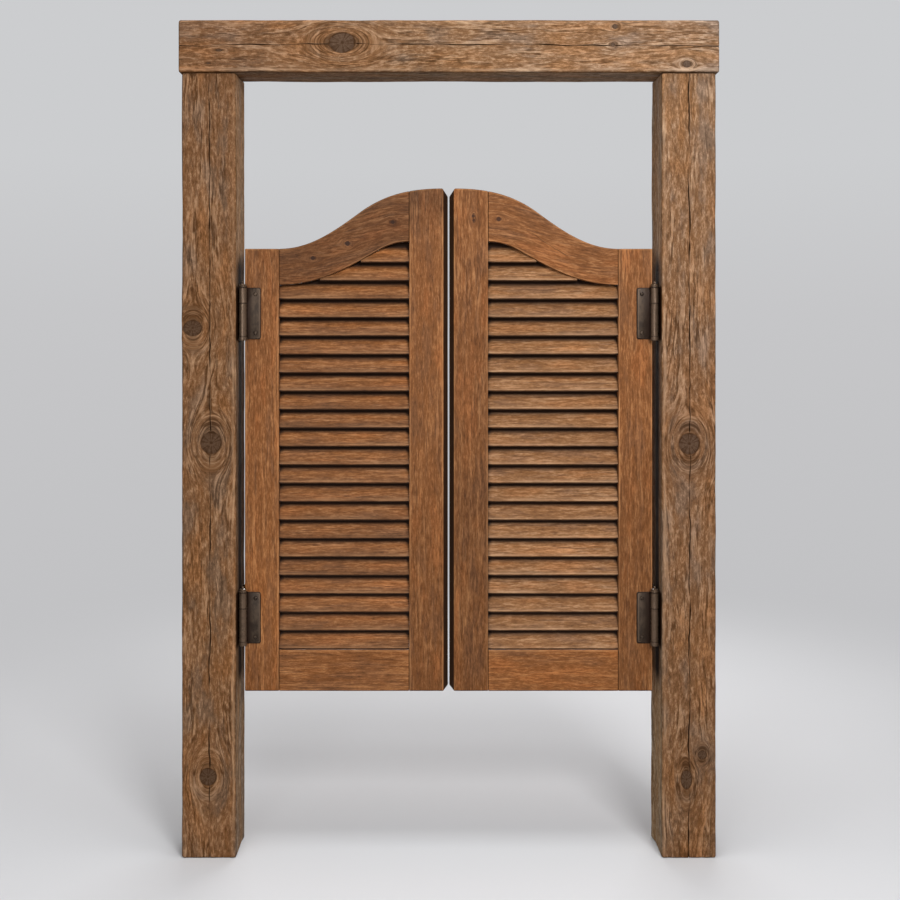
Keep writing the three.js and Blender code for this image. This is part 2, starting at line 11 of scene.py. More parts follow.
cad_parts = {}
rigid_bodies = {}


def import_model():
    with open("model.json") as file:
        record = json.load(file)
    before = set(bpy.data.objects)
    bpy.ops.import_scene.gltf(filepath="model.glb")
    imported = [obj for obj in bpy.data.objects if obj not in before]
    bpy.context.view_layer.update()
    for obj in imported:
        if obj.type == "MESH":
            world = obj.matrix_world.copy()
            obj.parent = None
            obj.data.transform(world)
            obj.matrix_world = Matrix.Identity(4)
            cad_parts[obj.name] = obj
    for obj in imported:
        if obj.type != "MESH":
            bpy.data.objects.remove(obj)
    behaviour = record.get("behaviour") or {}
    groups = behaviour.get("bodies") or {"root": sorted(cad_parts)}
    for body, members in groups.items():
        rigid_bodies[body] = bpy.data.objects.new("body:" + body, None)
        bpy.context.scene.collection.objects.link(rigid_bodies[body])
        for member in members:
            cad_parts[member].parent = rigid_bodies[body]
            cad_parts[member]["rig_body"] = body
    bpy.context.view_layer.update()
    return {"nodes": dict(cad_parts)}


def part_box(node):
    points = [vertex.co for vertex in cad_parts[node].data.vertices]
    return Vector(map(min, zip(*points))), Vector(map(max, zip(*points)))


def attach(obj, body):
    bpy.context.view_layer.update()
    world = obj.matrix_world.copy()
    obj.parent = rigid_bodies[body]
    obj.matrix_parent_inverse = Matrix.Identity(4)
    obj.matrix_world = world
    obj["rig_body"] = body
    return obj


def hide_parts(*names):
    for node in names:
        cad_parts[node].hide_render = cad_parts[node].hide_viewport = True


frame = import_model()

SIDES = {"left": -1, "right": 1}
LEVELS = ("upper", "lower")

# Places that the frame gives, on the right-hand side
LINTEL_LOW, LINTEL_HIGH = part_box("lintel")
POST_LOW, POST_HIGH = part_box("right_post")
HINGE_STILE_LOW, HINGE_STILE_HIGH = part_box("right_hinge_stile")
LOCK_STILE_LOW, LOCK_STILE_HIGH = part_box("right_lock_stile")
WEB_LOW, WEB_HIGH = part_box("right_upper_centre_web")
HINGE_SEAM = HINGE_STILE_LOW.x
LOCK_SEAM = LOCK_STILE_HIGH.x
LEAF_OUTER = HINGE_STILE_HIGH.x
LEAF_INNER = LOCK_STILE_LOW.x
LEAF_FACE = HINGE_STILE_HIGH.y
LEAF_BOTTOM = HINGE_STILE_LOW.z
HINGE_STILE_TOP = HINGE_STILE_HIGH.z
LOCK_STILE_TOP = LOCK_STILE_HIGH.z
PANEL_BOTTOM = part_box("right_bottom_rail")[1].z
PANEL_HINGE_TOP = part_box("right_top_rail")[0].z
POST_MIDDLE = (POST_LOW.x + POST_HIGH.x) / 2
POST_HALF = (POST_HIGH.x - POST_LOW.x) / 2
LINTEL_MIDDLE = (LINTEL_LOW.z + LINTEL_HIGH.z) / 2
LINTEL_HALF = (LINTEL_HIGH.z - LINTEL_LOW.z) / 2
HINGE_MIDDLES = [sum(corner.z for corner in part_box(f"right_{level}_centre_web")) / 2 for level in LEVELS]

# Sizes that the frame doesn't give
SEAT = 0.0003  # between faces that rest on each other
TIMBER_ARRIS = 0.005
LEAF_ARRIS = 0.0018
TOP_RAIL_LOCK_DEPTH = 0.137
MEETING_BEVEL_WIDTH = 0.012
MEETING_BEVEL_DEPTH = 0.017
CORNER_CLIP_WIDTH = 0.014
CORNER_CLIP_HEIGHT = 0.020
FOOT_CLIP = 0.012
BEVEL_SOFTNESS = 0.0007
SLAT_PITCH = 0.0476
SLAT_WIDTH = 0.064
SLAT_THICKNESS = 0.007
SLAT_TILT = math.radians(28)
SLAT_SHOW = 0.020
LAG_RADIUS = 0.006
LAG_HEAD_RADIUS = 0.015
LAG_HEAD_HEIGHT = 0.009
LAG_FLANGE = 0.002
LAG_HEX_RADIUS = 0.0114
LAG_LENGTH = 0.220
LAG_SINK = 0.014
COLLAR_RADIUS = 0.0108
BARREL_RADIUS = 0.010
AXIS_STANDOFF = 0.012
PLATE_THICKNESS = 0.0025
PLATE_HEIGHT = 0.133
PLATE_REACH = 0.045
PLATE_CORNER = 0.006
PLATE_ROOT = 0.008
SHORT_KNUCKLE = 0.0405
RING_HEIGHT = 0.0025
FOOT_COLLAR_HEIGHT = 0.0105
FOOT_DROP = 0.003
FOOT_FLOOR = 0.005
WEB_THICKNESS = 0.003
WEB_LAP = 0.004
RUNNING = 0.0006
SPRING_BORE_RADIUS = 0.0075
SPINDLE_RADIUS = 0.0037
TENSION_COLLAR_HEIGHT = 0.005
CAP_RADIUS = 0.0088
CAP_HEIGHT = 0.004
CAP_GROOVE = 0.0008
TOMMY_HOLE_RADIUS = 0.0012
FINIAL_RADIUS = 0.0032
FINIAL_HEIGHT = 0.0075
FINIAL_NECK_RADIUS = 0.002
FINIAL_ARC = np.radians(np.linspace(-52, 84, 9))  # of its ball, from the neck up
SCREW_RADIUS = 0.002
SCREW_LENGTH = 0.030
SCREW_POINT = 0.006
SCREW_HEAD_RADIUS = 0.0046
SCREW_HEAD_HEIGHT = 0.0022
SCREW_DOME = (0.6, 0.6)  # shares of the head's radius and height that its dome takes
SCREW_FROM_AXIS = 0.0315
SCREW_SPREAD = 0.050
SLOT_WIDTH = 0.0011
SLOT_DEPTH = 0.0012
METAL_EDGE = 0.0006  # rounding of the hinges' edges
PIN_TIP = 0.0005  # radius that turned pieces have left at their ends
SCREW_TIP = 0.0002
LAG_TIP = 0.0006
LET_IN = 0.0002  # how far a joined piece stays inside the faces of the other
SEAM_STEP = 0.0022  # between points beside a barrel's seams

# The two ogee curves of the top rail, as shares of their run and rise
UPPER_OGEE = dict(
    turn_run=0.49, turn_rise=0.594, steepness=2, start=0.178, before=0.166, after=0.142, end=0.218
)
LOWER_OGEE = dict(
    turn_run=0.67, turn_rise=0.64, steepness=1.71, start=0.25, before=0.223, after=0.119, end=0.137
)

# Derived places
PANEL_LOCK_TOP = LOCK_STILE_TOP - TOP_RAIL_LOCK_DEPTH
BEVEL_EDGE = LEAF_INNER + MEETING_BEVEL_WIDTH
POST_TOP = LINTEL_LOW.z - SEAT
PLATE_TOP = PLATE_HEIGHT / 2
KNUCKLE_JOINT = PLATE_TOP - SHORT_KNUCKLE
KNUCKLE_FOOT = -PLATE_TOP - FOOT_DROP
FOOT_COLLAR_TOP = KNUCKLE_FOOT + FOOT_COLLAR_HEIGHT
BORE_FLOOR = KNUCKLE_FOOT + FOOT_FLOOR
SPINDLE_BORE_RADIUS = SPINDLE_RADIUS + SEAT
BARREL_SEAMS = (FOOT_COLLAR_TOP, KNUCKLE_JOINT, PLATE_TOP)
AXIS_X = (WEB_LOW.x + WEB_HIGH.x) / 2
AXIS_Y = WEB_HIGH.y - COLLAR_RADIUS


# Curves and fields


RIPPLE_WAVES = 14
CURVE_STEPS = 60


def ripples(seed, points, along, across):
    """Smooth random waves at (across, deep, along) points, about -1 to 1, by their ranges of wavelength."""
    rng = np.random.default_rng(seed)
    total = np.zeros(points.shape[:-1])
    for _ in range(RIPPLE_WAVES):
        angle = rng.uniform(0, math.tau)
        pace = 1 / rng.uniform(*across)
        wave = np.array([pace * math.cos(angle), pace * math.sin(angle), 1 / rng.uniform(*along)])
        total += np.sin(math.tau * (points @ wave) + rng.uniform(0, math.tau))
    return total / math.sqrt(2 * RIPPLE_WAVES)


def over_zero(values, softness):
    """The part of the values that is over zero, with a rounded knee."""
    return (values + np.sqrt(values**2 + softness**2)) / 2


def rise(values, low, high):
    """Zero at low, one at high and straight between."""
    return np.clip((values - low) / (high - low), 0, 1)


def close_to(distance, reach):
    """One at no distance, falling to zero at the reach."""
    return rise(-distance, -reach, 0)


def by_place(values, points):
    """Values read off a line through (place, value) points."""
    return np.interp(values, *zip(*points))


def circle(radius, angles):
    return radius * np.stack([np.cos(angles), np.sin(angles)], axis=-1)


def bezier(points):
    """Places along a cubic curve."""
    t = np.linspace(0, 1, CURVE_STEPS)[:, None]
    a, b, c, d = (np.array(p) for p in points)
    return (1 - t) ** 3 * a + 3 * t * (1 - t) ** 2 * b + 3 * t**2 * (1 - t) * c + t**3 * d


def ogee(start, stop, share):
    """An S curve from one level point down or up to another, as a function of X that gives Z."""
    start, stop = np.array(start), np.array(stop)
    run, climb = stop - start
    turn = start + (run * share["turn_run"], climb * share["turn_rise"])
    slope = np.array((run, climb * share["steepness"]))
    level = np.array((run, 0))
    first = bezier([start, start + level * share["start"], turn - slope * share["before"], turn])
    second = bezier([turn, turn + slope * share["after"], stop - level * share["end"], stop])
    curve = np.concatenate([first, second[1:]])[::-1]
    return lambda x: np.interp(x, curve[:, 0], curve[:, 1])


CLIP_EDGE = LEAF_INNER + CORNER_CLIP_WIDTH
upper_ogee = ogee((HINGE_SEAM, HINGE_STILE_TOP), (CLIP_EDGE, LOCK_STILE_TOP), UPPER_OGEE)
lower_ogee = ogee((HINGE_SEAM, PANEL_HINGE_TOP), (LOCK_SEAM, PANEL_LOCK_TOP), LOWER_OGEE)


# Meshes

SMOOTH_ANGLE = math.radians(38)
SKIN_SHARE = 0.9  # part of a piece's map that its sides take, with its ends in the rest
END_DISC = 0.04
END_PLACES = np.array(((0.25, 0.95), (0.75, 0.95)))
EASE_MOST = 0.45  # of the lines at a corner, for its rounding


def added(name, data):
    """A new object of the scene, with its mesh, lamp or camera."""
    item = bpy.data.objects.new(name, data)
    bpy.context.scene.collection.objects.link(item)
    return item


def smooth(mesh):
    mesh.shade_smooth()
    mesh.set_sharp_from_angle(angle=SMOOTH_ANGLE)


def mark(mesh, label, values, domain="POINT"):
    """Keeps one value or vector for each point or face."""
    kind, key = ("FLOAT_VECTOR", "vector") if values.ndim == 3 else ("FLOAT", "value")
    mesh.attributes.new(label, kind, domain).data.foreach_set(key, values.ravel())


def surface(name, loops, material, fields=None, closed=False, flip=False):
    """A closed skin over rings of as many points each, its ends capped or joined to each other."""
    rows, ring = loops.shape[:2]
    index = np.arange(rows * ring).reshape(rows, ring)
    index = np.concatenate([index, index[:, :1]], axis=1)
    steps = np.diff(np.concatenate([loops, loops[:, :1]], axis=1), axis=1)
    around = np.linalg.norm(steps, axis=2).mean(0)
    along = np.linalg.norm(np.diff(loops, axis=0), axis=2).mean(1)
    if closed:
        index = np.concatenate([index, index[:1]])
        along = np.append(along, np.linalg.norm(loops[0] - loops[-1], axis=1).mean())
    u = np.concatenate([[0], np.cumsum(around)]) / around.sum()
    v = SKIN_SHARE * np.concatenate([[0], np.cumsum(along)]) / along.sum()

    def quads(grid):
        (a, b), (c, d) = ((row[:, :-1], row[:, 1:]) for row in (grid[:-1], grid[1:]))
        return np.stack([a, b, d, c], axis=2)

    faces = quads(index).reshape(-1, 4).tolist()
    places = list(quads(np.stack(np.meshgrid(u, v), axis=-1)).reshape(-1, 4, 2))
    if not closed:
        disc = circle(END_DISC, math.tau * u[:-1])
        faces += [index[0, :-1][::-1].tolist(), index[-1, :-1].tolist()]
        places += [(disc + END_PLACES[0])[::-1], disc + END_PLACES[1]]
    if flip:
        faces = [face[::-1] for face in faces]
        places = [place[::-1] for place in places]
    mesh = bpy.data.meshes.new(name)
    mesh.from_pydata(loops.reshape(-1, 3).tolist(), [], faces)
    mesh.uv_layers.new(name="OFBake").data.foreach_set("uv", np.concatenate(places).ravel())
    for label, values in (fields or {}).items():
        mark(mesh, label, values)
    smooth(mesh)
    mesh.materials.append(material)
    return added(name, mesh)


def applied(piece):
    """The piece with its modifiers made part of its mesh."""
    bpy.context.view_layer.update()
    piece.data = bpy.data.meshes.new_from_object(piece.evaluated_get(bpy.context.evaluated_depsgraph_get()))
    piece.modifiers.clear()
    smooth(piece.data)
    return piece


def combined(piece, *others, operation="UNION"):
    """The piece joined with the others, or cut by them."""
    for other in others:
        modifier = piece.modifiers.new("combine", "BOOLEAN")
        modifier.operation = operation
        modifier.solver = "EXACT"
        modifier.object = other
    applied(piece)
    for other in others:
        bpy.data.objects.remove(other)
    return piece


def edge_eased(piece):
    bevel = piece.modifiers.new("edge", "BEVEL")
    bevel.width = METAL_EDGE
    bevel.segments = 2
    bevel.limit_method = "ANGLE"
    return applied(piece)


def eased(points, radius, steps=3):
    """A line of points with its inner corners rounded."""
    points = [np.array(p, float) for p in points]
    made = [points[0]]
    for before, corner, after in zip(points, points[1:], points[2:]):
        back, on = before - corner, after - corner
        lengths = [np.linalg.norm(line) for line in (back, on)]
        reach = min(radius, *(EASE_MOST * length for length in lengths))
        a, b = (corner + line / length * reach for line, length in zip((back, on), lengths))
        for t in np.linspace(0, 1, steps + 1):
            made.append((1 - t) ** 2 * a + 2 * t * (1 - t) * corner + t**2 * b)
    made.append(points[-1])
    return np.array(made)


def turned(name, steps, material, edge=METAL_EDGE, sides=40, hollow=False):
    """A turned piece on the Z axis, from the steps up its outside: each a radius and the heights it has."""
    profile = [(radius, z) for radius, *heights in steps for z in heights]
    line = eased(profile + profile[:2], edge)[1:-1] if hollow else eased(profile, edge)
    loops = np.empty((len(line), sides, 3))
    loops[..., :2] = line[:, :1, None] * circle(1, np.linspace(0, math.tau, sides, endpoint=False))
    loops[..., 2] = line[:, 1:]
    return surface(name, loops, material, closed=hollow)


def slab(name, outline, bottom, top, material):
    """A flat piece from an X and Y outline, counter-clockwise, between two heights."""
    outline = np.array(outline, float)
    loops = np.stack([np.column_stack([outline, np.full(len(outline), z)]) for z in (bottom, top)])
    return surface(name, loops, material)


def box(name, corner, opposite, material):
    (x0, y0, z0), (x1, y1, z1) = corner, opposite
    return slab(name, [(x0, y0), (x1, y0), (x1, y1), (x0, y1)], z0, z1, material)


def placed(piece, matrix):
    """The piece's mesh moved, turned or mirrored to its place."""
    piece.data.transform(matrix)
    if matrix.determinant() < 0:
        piece.data.flip_normals()
    return piece


def stand_in(piece, node):
    """The piece rides where the CAD node does, and is shown in its stead."""
    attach(piece, frame["nodes"][node]["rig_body"])
    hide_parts(node)


# Materials


def colour(red, green, blue):
    """An sRGB colour of 0 to 255 as linear values."""
    shares = (value / 255 for value in (red, green, blue))
    return (*(s / 12.92 if s <= 0.04045 else ((s + 0.055) / 1.055) ** 2.4 for s in shares), 1.0)


@dataclass
class Pattern:
    """A node's output, as a value to reckon with."""

    paint: object
    socket: object

    def math(self, operation, *others):
        return self.paint.node("Math", dict(enumerate((self, *others))), operation=operation)

    def vector(self, operation, *others, output=0):
        return self.paint.node("VectorMath", dict(enumerate((self, *others))), output, operation=operation)

    def part(self, axis):
        return self.paint.node("SeparateXYZ", {0: self}, axis)

    def __add__(self, other):
        return self.math("ADD", other)

    __radd__ = __add__

    def __sub__(self, other):
        return self.math("SUBTRACT", other)

    def __mul__(self, other):
        return self.math("MULTIPLY", other)

    def __abs__(self):
        return self.math("ABSOLUTE")

    def __or__(self, other):
        """The greater of two."""
        return self.math("MAXIMUM", other)

    def between(self, low, high, to_low=0.0, to_high=1.0):
        """Eases from one value to another as this one goes from low to high."""
        inputs = {0: self, 1: low, 2: high, 3: to_low, 4: to_high}
        return self.paint.node("MapRange", inputs, interpolation_type="SMOOTHSTEP")

    def fade(self, low, high, start=1.0):
        """Eases to nothing as this goes from low to high."""
        return self.between(low, high, start, 0.0)

    def ridge(self, level, width):
        """One where this is at a level, and falling to zero beside it: thin lines through a noise."""
        return abs(self - level).fade(0.0, width)


MIX_INPUTS = (0, 6, 7)  # a Mix node's factor and its two colours
MIX_RESULT = 2


class Paint:
    """A node material, built from its patterns to its surface."""

    def __init__(self, name):
        self.material = bpy.data.materials.new(name)
        self.material.use_nodes = True
        self.nodes = self.material.node_tree.nodes
        self.links = self.material.node_tree.links

    def feed(self, socket, value):
        if isinstance(value, Pattern):
            self.links.new(value.socket, socket)
        else:
            socket.default_value = value

    def node(self, kind, inputs, output=0, **settings):
        node = self.nodes.new("ShaderNode" + kind)
        for key, value in settings.items():
            setattr(node, key, value)
        for socket, value in inputs.items():
            self.feed(node.inputs[socket], value)
        return Pattern(self, node.outputs[output])

    def attribute(self, name, output="Fac"):
        return self.node("Attribute", {}, output, attribute_name=name)

    def place(self):
        return self.node("TexCoord", {}, "Object")

    def noise(self, vector, scale, detail, roughness=0.55):
        scaled = vector.vector("MULTIPLY", scale)
        inputs = {"Vector": scaled, "Scale": 1.0, "Detail": detail, "Roughness": roughness}
        return self.node("TexNoise", inputs, "Fac")

    def mix(self, factor, first, second, blend="MIX"):
        inputs = dict(zip(MIX_INPUTS, (factor, first, second)))
        return self.node("Mix", inputs, MIX_RESULT, data_type="RGBA", blend_type=blend)

    def ramp(self, value, *stops):
        made = self.node("ValToRGB", {0: value})
        elements = made.socket.node.color_ramp.elements
        while len(elements) < len(stops):
            elements.new(0.5)
        for element, (position, shade) in zip(elements, stops):
            element.position = position
            element.color = shade
        return made

    def bump(self, height, strength, distance):
        return self.node("Bump", {"Height": height, "Strength": strength, "Distance": distance})

    def finished(self, inputs):
        """The material, with these inputs of its surface."""
        for name, value in inputs.items():
            self.feed(self.nodes["Principled BSDF"].inputs[name], value)
        return self.material


NOISES = {  # detail and roughness of the patterns in wood
    "fibres": (3.0, 0.75),
    "streaks": (3.0, 0.6),
    "patches": (3.0, 0.6),
    "grit": (2.0, 0.7),
    "layers": (2.0, 0.55),
}
WOOD_BANDS = dict(  # levels of a noise between which a mark comes or goes
    streaked=(0.44, 0.6),
    pits=(0.62, 0.74),
    grey=(0.5, 0.66),
    warm=(0.34, 0.5),
    rubbed=(0.35, 0.6),
    gloss=(0.2, 0.8),
)
TONE_LEVELS = (0.1, 0.5, 0.9)  # of lightness, at the dark, the middle and the light tone
CHECK_LEVEL = 0.47  # of the layers in wood
CREST_LEVEL = 0.58
CHECK_DEPTH = 0.5  # set against the fibres' relief
CREST_HEIGHT = 0.2
LEAST_RUB = 0.2  # of a worn edge, between its streaks
KNOT_WANDER = 0.2  # unevenness of a knot's outline, in its radii
KNOT_RINGS = 20.0  # radians of ring pattern in a knot's radius
RING_WANDER = 9.0
KNOT_NOISES = dict(  # scale, detail and roughness, here and for metal
    wander=((1.7, 1.7, 1.7), 2.0), rays=((1.6, 1.6, 1.6), 3.0), mottle=((300, 300, 300), 4.0, 0.7)
)
KNOT_BANDS = dict(  # distances from a knot's middle, in its radii, between which a mark comes or goes
    pith=(0.08, 0.2),
    rays=(0.1, 0.4),
    rim=(0.84, 0.98),
    heart_end=(0.95, 1.07),
    rim_end=(1.0, 1.14),
    halo=(1.05, 1.16),
    halo_end=(1.2, 1.5),
    smudge_beside=(0.2, 1.2),
    smudge_along=(1.2, 2.4),
    smudge_end=(2.0, 2.6),
    lines_end=(2.0, 3.4),
)
KNOT_DEPTHS = dict(  # strengths of the marks, from least to most where a noise varies them
    rings=0.1, mottle=(0.1, 0.4), rays=0.6, pith=0.7, smudge=0.5, halo=(0.0, 0.12), rim=(0.25, 0.8)
)
KNOT_PLAY = dict(mottle=(0.35, 0.7), halo=(0.3, 0.7), rim=(0.35, 0.65))  # levels of that noise
RAY = (0.5, 0.09)  # level and width
# The dark colour of dirt, which painted shade uses too
DIRT_AND_SHADE = colour(34, 18, 7)


def wood(name, scales, tones, hues, knot, contrast, depths, rough, sheen, relief):
    """Wood along the grain of its pieces, with checks, knots, dirt, painted shade and highlights, worn edges
    and the pieces' own tones.
    """
    paint = Paint(name)
    dark, _, light = tones
    grey, warm = hues
    grain = paint.attribute("grain", "Vector")
    spot = paint.attribute("spot", "Vector")
    wander = paint.noise(spot, *KNOT_NOISES["wander"])
    reach = paint.attribute("knot") - KNOT_WANDER / 2 + wander * KNOT_WANDER
    noises = {label: paint.noise(grain, scales[label], *look) for label, look in NOISES.items()}
    fibres, streaks, patches, grit, layers = noises.values()
    checks = layers.ridge(CHECK_LEVEL, depths["line"])
    crests = layers.ridge(CREST_LEVEL, depths["line"])
    streaked = streaks.between(*WOOD_BANDS["streaked"])
    lined = streaked | reach.fade(*KNOT_BANDS["lines_end"])
    even = 0.5 - sum(contrast.values()) / 2
    lightness = sum((noises[label] * share for label, share in contrast.items()), even)
    shade = paint.ramp(lightness, *zip(TONE_LEVELS, tones))
    shade = paint.mix(crests * streaked * depths["crests"], shade, light)
    shade = paint.mix(checks * lined * depths["checks"], shade, dark)
    shade = paint.mix(grit.between(*WOOD_BANDS["pits"], 0.0, depths["pits"]), shade, dark)
    shade = paint.mix(patches.between(*WOOD_BANDS["grey"], 0.0, depths["hues"]), shade, grey, "COLOR")
    shade = paint.mix(patches.fade(*WOOD_BANDS["warm"], depths["hues"]), shade, warm, "COLOR")
    # Worn edges turn pale, and so do the slats' noses with a painted highlight
    rubbed = paint.attribute("wear") * streaks.between(*WOOD_BANDS["rubbed"], LEAST_RUB, 1.0)
    shade = paint.mix(rubbed * depths["wear"], shade, light)
    shade = knotted(paint, shade, reach, spot, wander, knot, dark, light)
    # The pieces' own tones, with painted light and shade on some faces
    shade = paint.mix(1.0, shade, paint.attribute("tone", "Color"), "MULTIPLY")
    # Dirt and painted shade darken the wood towards one colour
    shade = paint.mix(paint.attribute("soil").between(0.0, 1.0), shade, DIRT_AND_SHADE)
    return paint.finished({
        "Base Color": shade,
        "Roughness": lightness.between(*WOOD_BANDS["gloss"], *rough[::-1]),
        "Specular IOR Level": sheen,
        "Normal": paint.bump(fibres - checks * CHECK_DEPTH + crests * CREST_HEIGHT, *relief),
    })


def knotted(paint, shade, reach, spot, wander, knot, dark, light):
    """The shade with a knot's heart, its rings and rays, its dark rim and the smudged wood beside it."""
    bands, depths, play = KNOT_BANDS, KNOT_DEPTHS, KNOT_PLAY
    mottle = paint.noise(paint.place(), *KNOT_NOISES["mottle"]).between(*play["mottle"], *depths["mottle"])
    rings = (reach * KNOT_RINGS + wander * RING_WANDER).math("SINE")
    rays = paint.noise(spot.vector("NORMALIZE"), *KNOT_NOISES["rays"]).ridge(*RAY)
    heart = paint.mix(rings * depths["rings"] + mottle, knot, dark)
    heart = paint.mix(rays * reach.between(*bands["rays"]) * depths["rays"], heart, dark)
    heart = paint.mix(reach.fade(*bands["pith"], depths["pith"]), heart, dark)
    beside, along = (abs(spot.part(axis)) for axis in "XY")
    smudge = beside.fade(*bands["smudge_beside"], depths["smudge"]) * along.fade(*bands["smudge_along"])
    shade = paint.mix(smudge * reach.fade(*bands["smudge_end"]), shade, dark)
    halo = reach.between(*bands["halo"]) * reach.fade(*bands["halo_end"])
    shade = paint.mix(halo * wander.between(*play["halo"], *depths["halo"]), shade, light)
    shade = paint.mix(reach.fade(*bands["heart_end"]), shade, heart)
    rim = reach.between(*bands["rim"]) * reach.fade(*bands["rim_end"])
    return paint.mix(rim * wander.between(*play["rim"], *depths["rim"]), shade, dark)


BARREL_SHADE = (0.0115, 0.040)  # where painted shade beside a barrel fades, from the axis
RIM_SHADE = (0.0014, 0.0038)  # where painted shade fades, in from a plate's edge
RIM_LINE = 0.0052  # the painted highlight inside that
RIM_LINE_WIDTH = 0.0016
FREE_EDGE = (-0.006, -0.002)  # where that line begins, from the start of the plate's corners
SCREW_SHADE = (0.0050, 0.0064)  # where painted shade ends round a screw
# strength of that painted shade
MARK_SHADE = 0.9


def plate_marks(paint):
    """On a hinge plate: painted shade at its edge, round its screws and beside its barrel, and a painted
    highlight along its free edge.
    """
    reach = paint.attribute("reach")
    flat = paint.attribute("place", "Vector").vector("ABSOLUTE").vector("MULTIPLY", (1, 0, 1))
    past = flat.vector("SUBTRACT", (PLATE_REACH - PLATE_CORNER, 0, PLATE_TOP - PLATE_CORNER))
    across, up = past.part("X"), past.part("Z")
    outside = past.vector("MAXIMUM", (0, 0, 0)).vector("LENGTH", output="Value")
    inside = (across | up).math("MINIMUM", 0.0)
    rim = (outside + inside) * -1.0 + PLATE_CORNER
    from_axis = flat.part("X")
    beside = from_axis.fade(BARREL_SHADE[0], reach * BARREL_SHADE[1])
    beside = beside * from_axis.between(BARREL_RADIUS - SEAM_STEP, BARREL_RADIUS)
    screwed = flat.vector("DISTANCE", (SCREW_FROM_AXIS, 0, SCREW_SPREAD), output="Value")
    dirt = beside | rim.fade(RIM_SHADE[0], reach * RIM_SHADE[1], MARK_SHADE)
    dirt = dirt | screwed.fade(*SCREW_SHADE, MARK_SHADE)
    return dirt, rim.ridge(reach * RIM_LINE, RIM_LINE_WIDTH) * across.between(*FREE_EDGE)


METAL_NOISES = dict(
    clouds=((70, 70, 45), 5.0, 0.65), specks=((620, 620, 620), 3.0), scratches=((900, 900, 60), 2.0)
)
METAL_BANDS = dict(clouds=(0.34, 0.68), specks=(0.58, 0.72), gloss=(0.3, 0.7))
GLOSS_SHARES = (0.6, 0.4)  # of the clouds and the scratches in a metal's gloss
SPECK_DEPTH = 0.4
# strength of the painted highlight along a plate's free edge
RIM_HIGHLIGHT = 0.8
BARREL_WEAR = 0.85
BARREL_GLOSS = 0.2  # how much less rough barrels are
METAL_SPECULAR = 0.2
METAL_RELIEF = (0.25, 0.00015)


def metal(name, dark, bright, rough, metallic, worn=None):
    """Metal with a clouded finish, fine scratches and uneven gloss, paler where worn and along a painted
    highlight, darker with dirt and painted shade.
    """
    paint = Paint(name)
    clouds, specks, scratches = (paint.noise(paint.place(), *look) for look in METAL_NOISES.values())
    shade = paint.mix(clouds.between(*METAL_BANDS["clouds"]), dark, bright)
    gloss = clouds * GLOSS_SHARES[0] + scratches * GLOSS_SHARES[1]
    gloss = gloss.between(*METAL_BANDS["gloss"], *rough)
    if worn:
        barrel = paint.attribute("wear")
        plate = barrel * -1.0 + 1.0
        dirt, line = (plate * found for found in plate_marks(paint))
        # Barrels paler with wear, and a painted highlight along a plate's free edge
        shade = paint.mix(line * RIM_HIGHLIGHT + barrel * BARREL_WEAR, shade, worn)
        # Painted shade on the plates, and dirt in the barrels' seams
        shade = paint.mix(dirt | paint.attribute("soil"), shade, DIRT_AND_SHADE)
        gloss = gloss - barrel * BARREL_GLOSS
    return paint.finished({
        "Base Color": paint.mix(specks.between(*METAL_BANDS["specks"], 0.0, SPECK_DEPTH), shade, dark),
        "Metallic": metallic,
        "Specular IOR Level": METAL_SPECULAR,
        "Roughness": gloss,
        "Normal": paint.bump(specks + scratches, *METAL_RELIEF),
    })


TIMBER = wood(
    "weathered_timber",
    scales=dict(
        fibres=(190, 190, 56),
        streaks=(40, 40, 6),
        patches=(20, 20, 6),
        layers=(85, 85, 8),
        grit=(420, 420, 140),
    ),
    tones=(colour(56, 34, 18), colour(126, 89, 61), colour(202, 164, 132)),
    hues=(colour(112, 91, 76), colour(140, 93, 56)),
    knot=colour(98, 76, 61),
    contrast=dict(fibres=1.0, streaks=0.16, patches=-0.22, grit=0.35),
    depths=dict(hues=0.6, crests=0.34, checks=0.65, line=0.07, pits=0.4, wear=0.4),
    rough=(0.78, 0.94),
    sheen=0.02,
    relief=(0.6, 0.0014),
)
LEAF_WOOD = wood(
    "stained_wood",
    scales=dict(
        fibres=(220, 220, 40),
        streaks=(64, 64, 6),
        patches=(26, 26, 6),
        layers=(110, 110, 5),
        grit=(560, 560, 130),
    ),
    tones=(colour(62, 31, 12), colour(135, 83, 41), colour(204, 146, 95)),
    hues=(colour(116, 77, 48), colour(146, 83, 35)),
    knot=colour(76, 47, 30),
    contrast=dict(fibres=0.95, streaks=0.4, patches=-0.4, grit=0.35),
    depths=dict(hues=0.5, crests=0.22, checks=0.5, line=0.06, pits=0.35, wear=0.6),
    rough=(0.54, 0.72),
    sheen=0.2,
    relief=(0.4, 0.0008),
)
BRONZE = metal("bronzed_steel", colour(50, 40, 32), colour(79, 65, 53), (0.4, 0.58), 0.4, colour(102, 83, 67))
SCREW_BRONZE = metal("bronzed_screw", colour(52, 43, 36), colour(88, 74, 62), (0.3, 0.5), 0.8)
SPRING_STEEL = metal("spring_steel", colour(92, 92, 94), colour(142, 142, 144), (0.28, 0.45), 1.0)
ZINC = metal("zinc_steel", colour(138, 140, 142), colour(186, 188, 190), (0.32, 0.5), 1.0)


# Sticks: posts, lintel, stiles and rails. Across (p), deep (q) and along (u) are a stick's own axes.

FRONT, RIGHT, BACK, LEFT = range(4)  # sides of a stick, in order round its section
NO_KNOT = 9.0  # a place that no knot reaches, in knot radii


def nothing(p, q, u):
    return np.zeros_like(p)


def untinted(p, q, u):
    return 1.0


@dataclass
class Knot:
    """A knot in the front of a stick."""

    across: float
    along: float
    radius: float
    stretch: float = 1.0  # longer along the grain than across it by this


@dataclass
class Split:
    path: list  # (along, across) points
    width: float
    depth: float
    wander: float


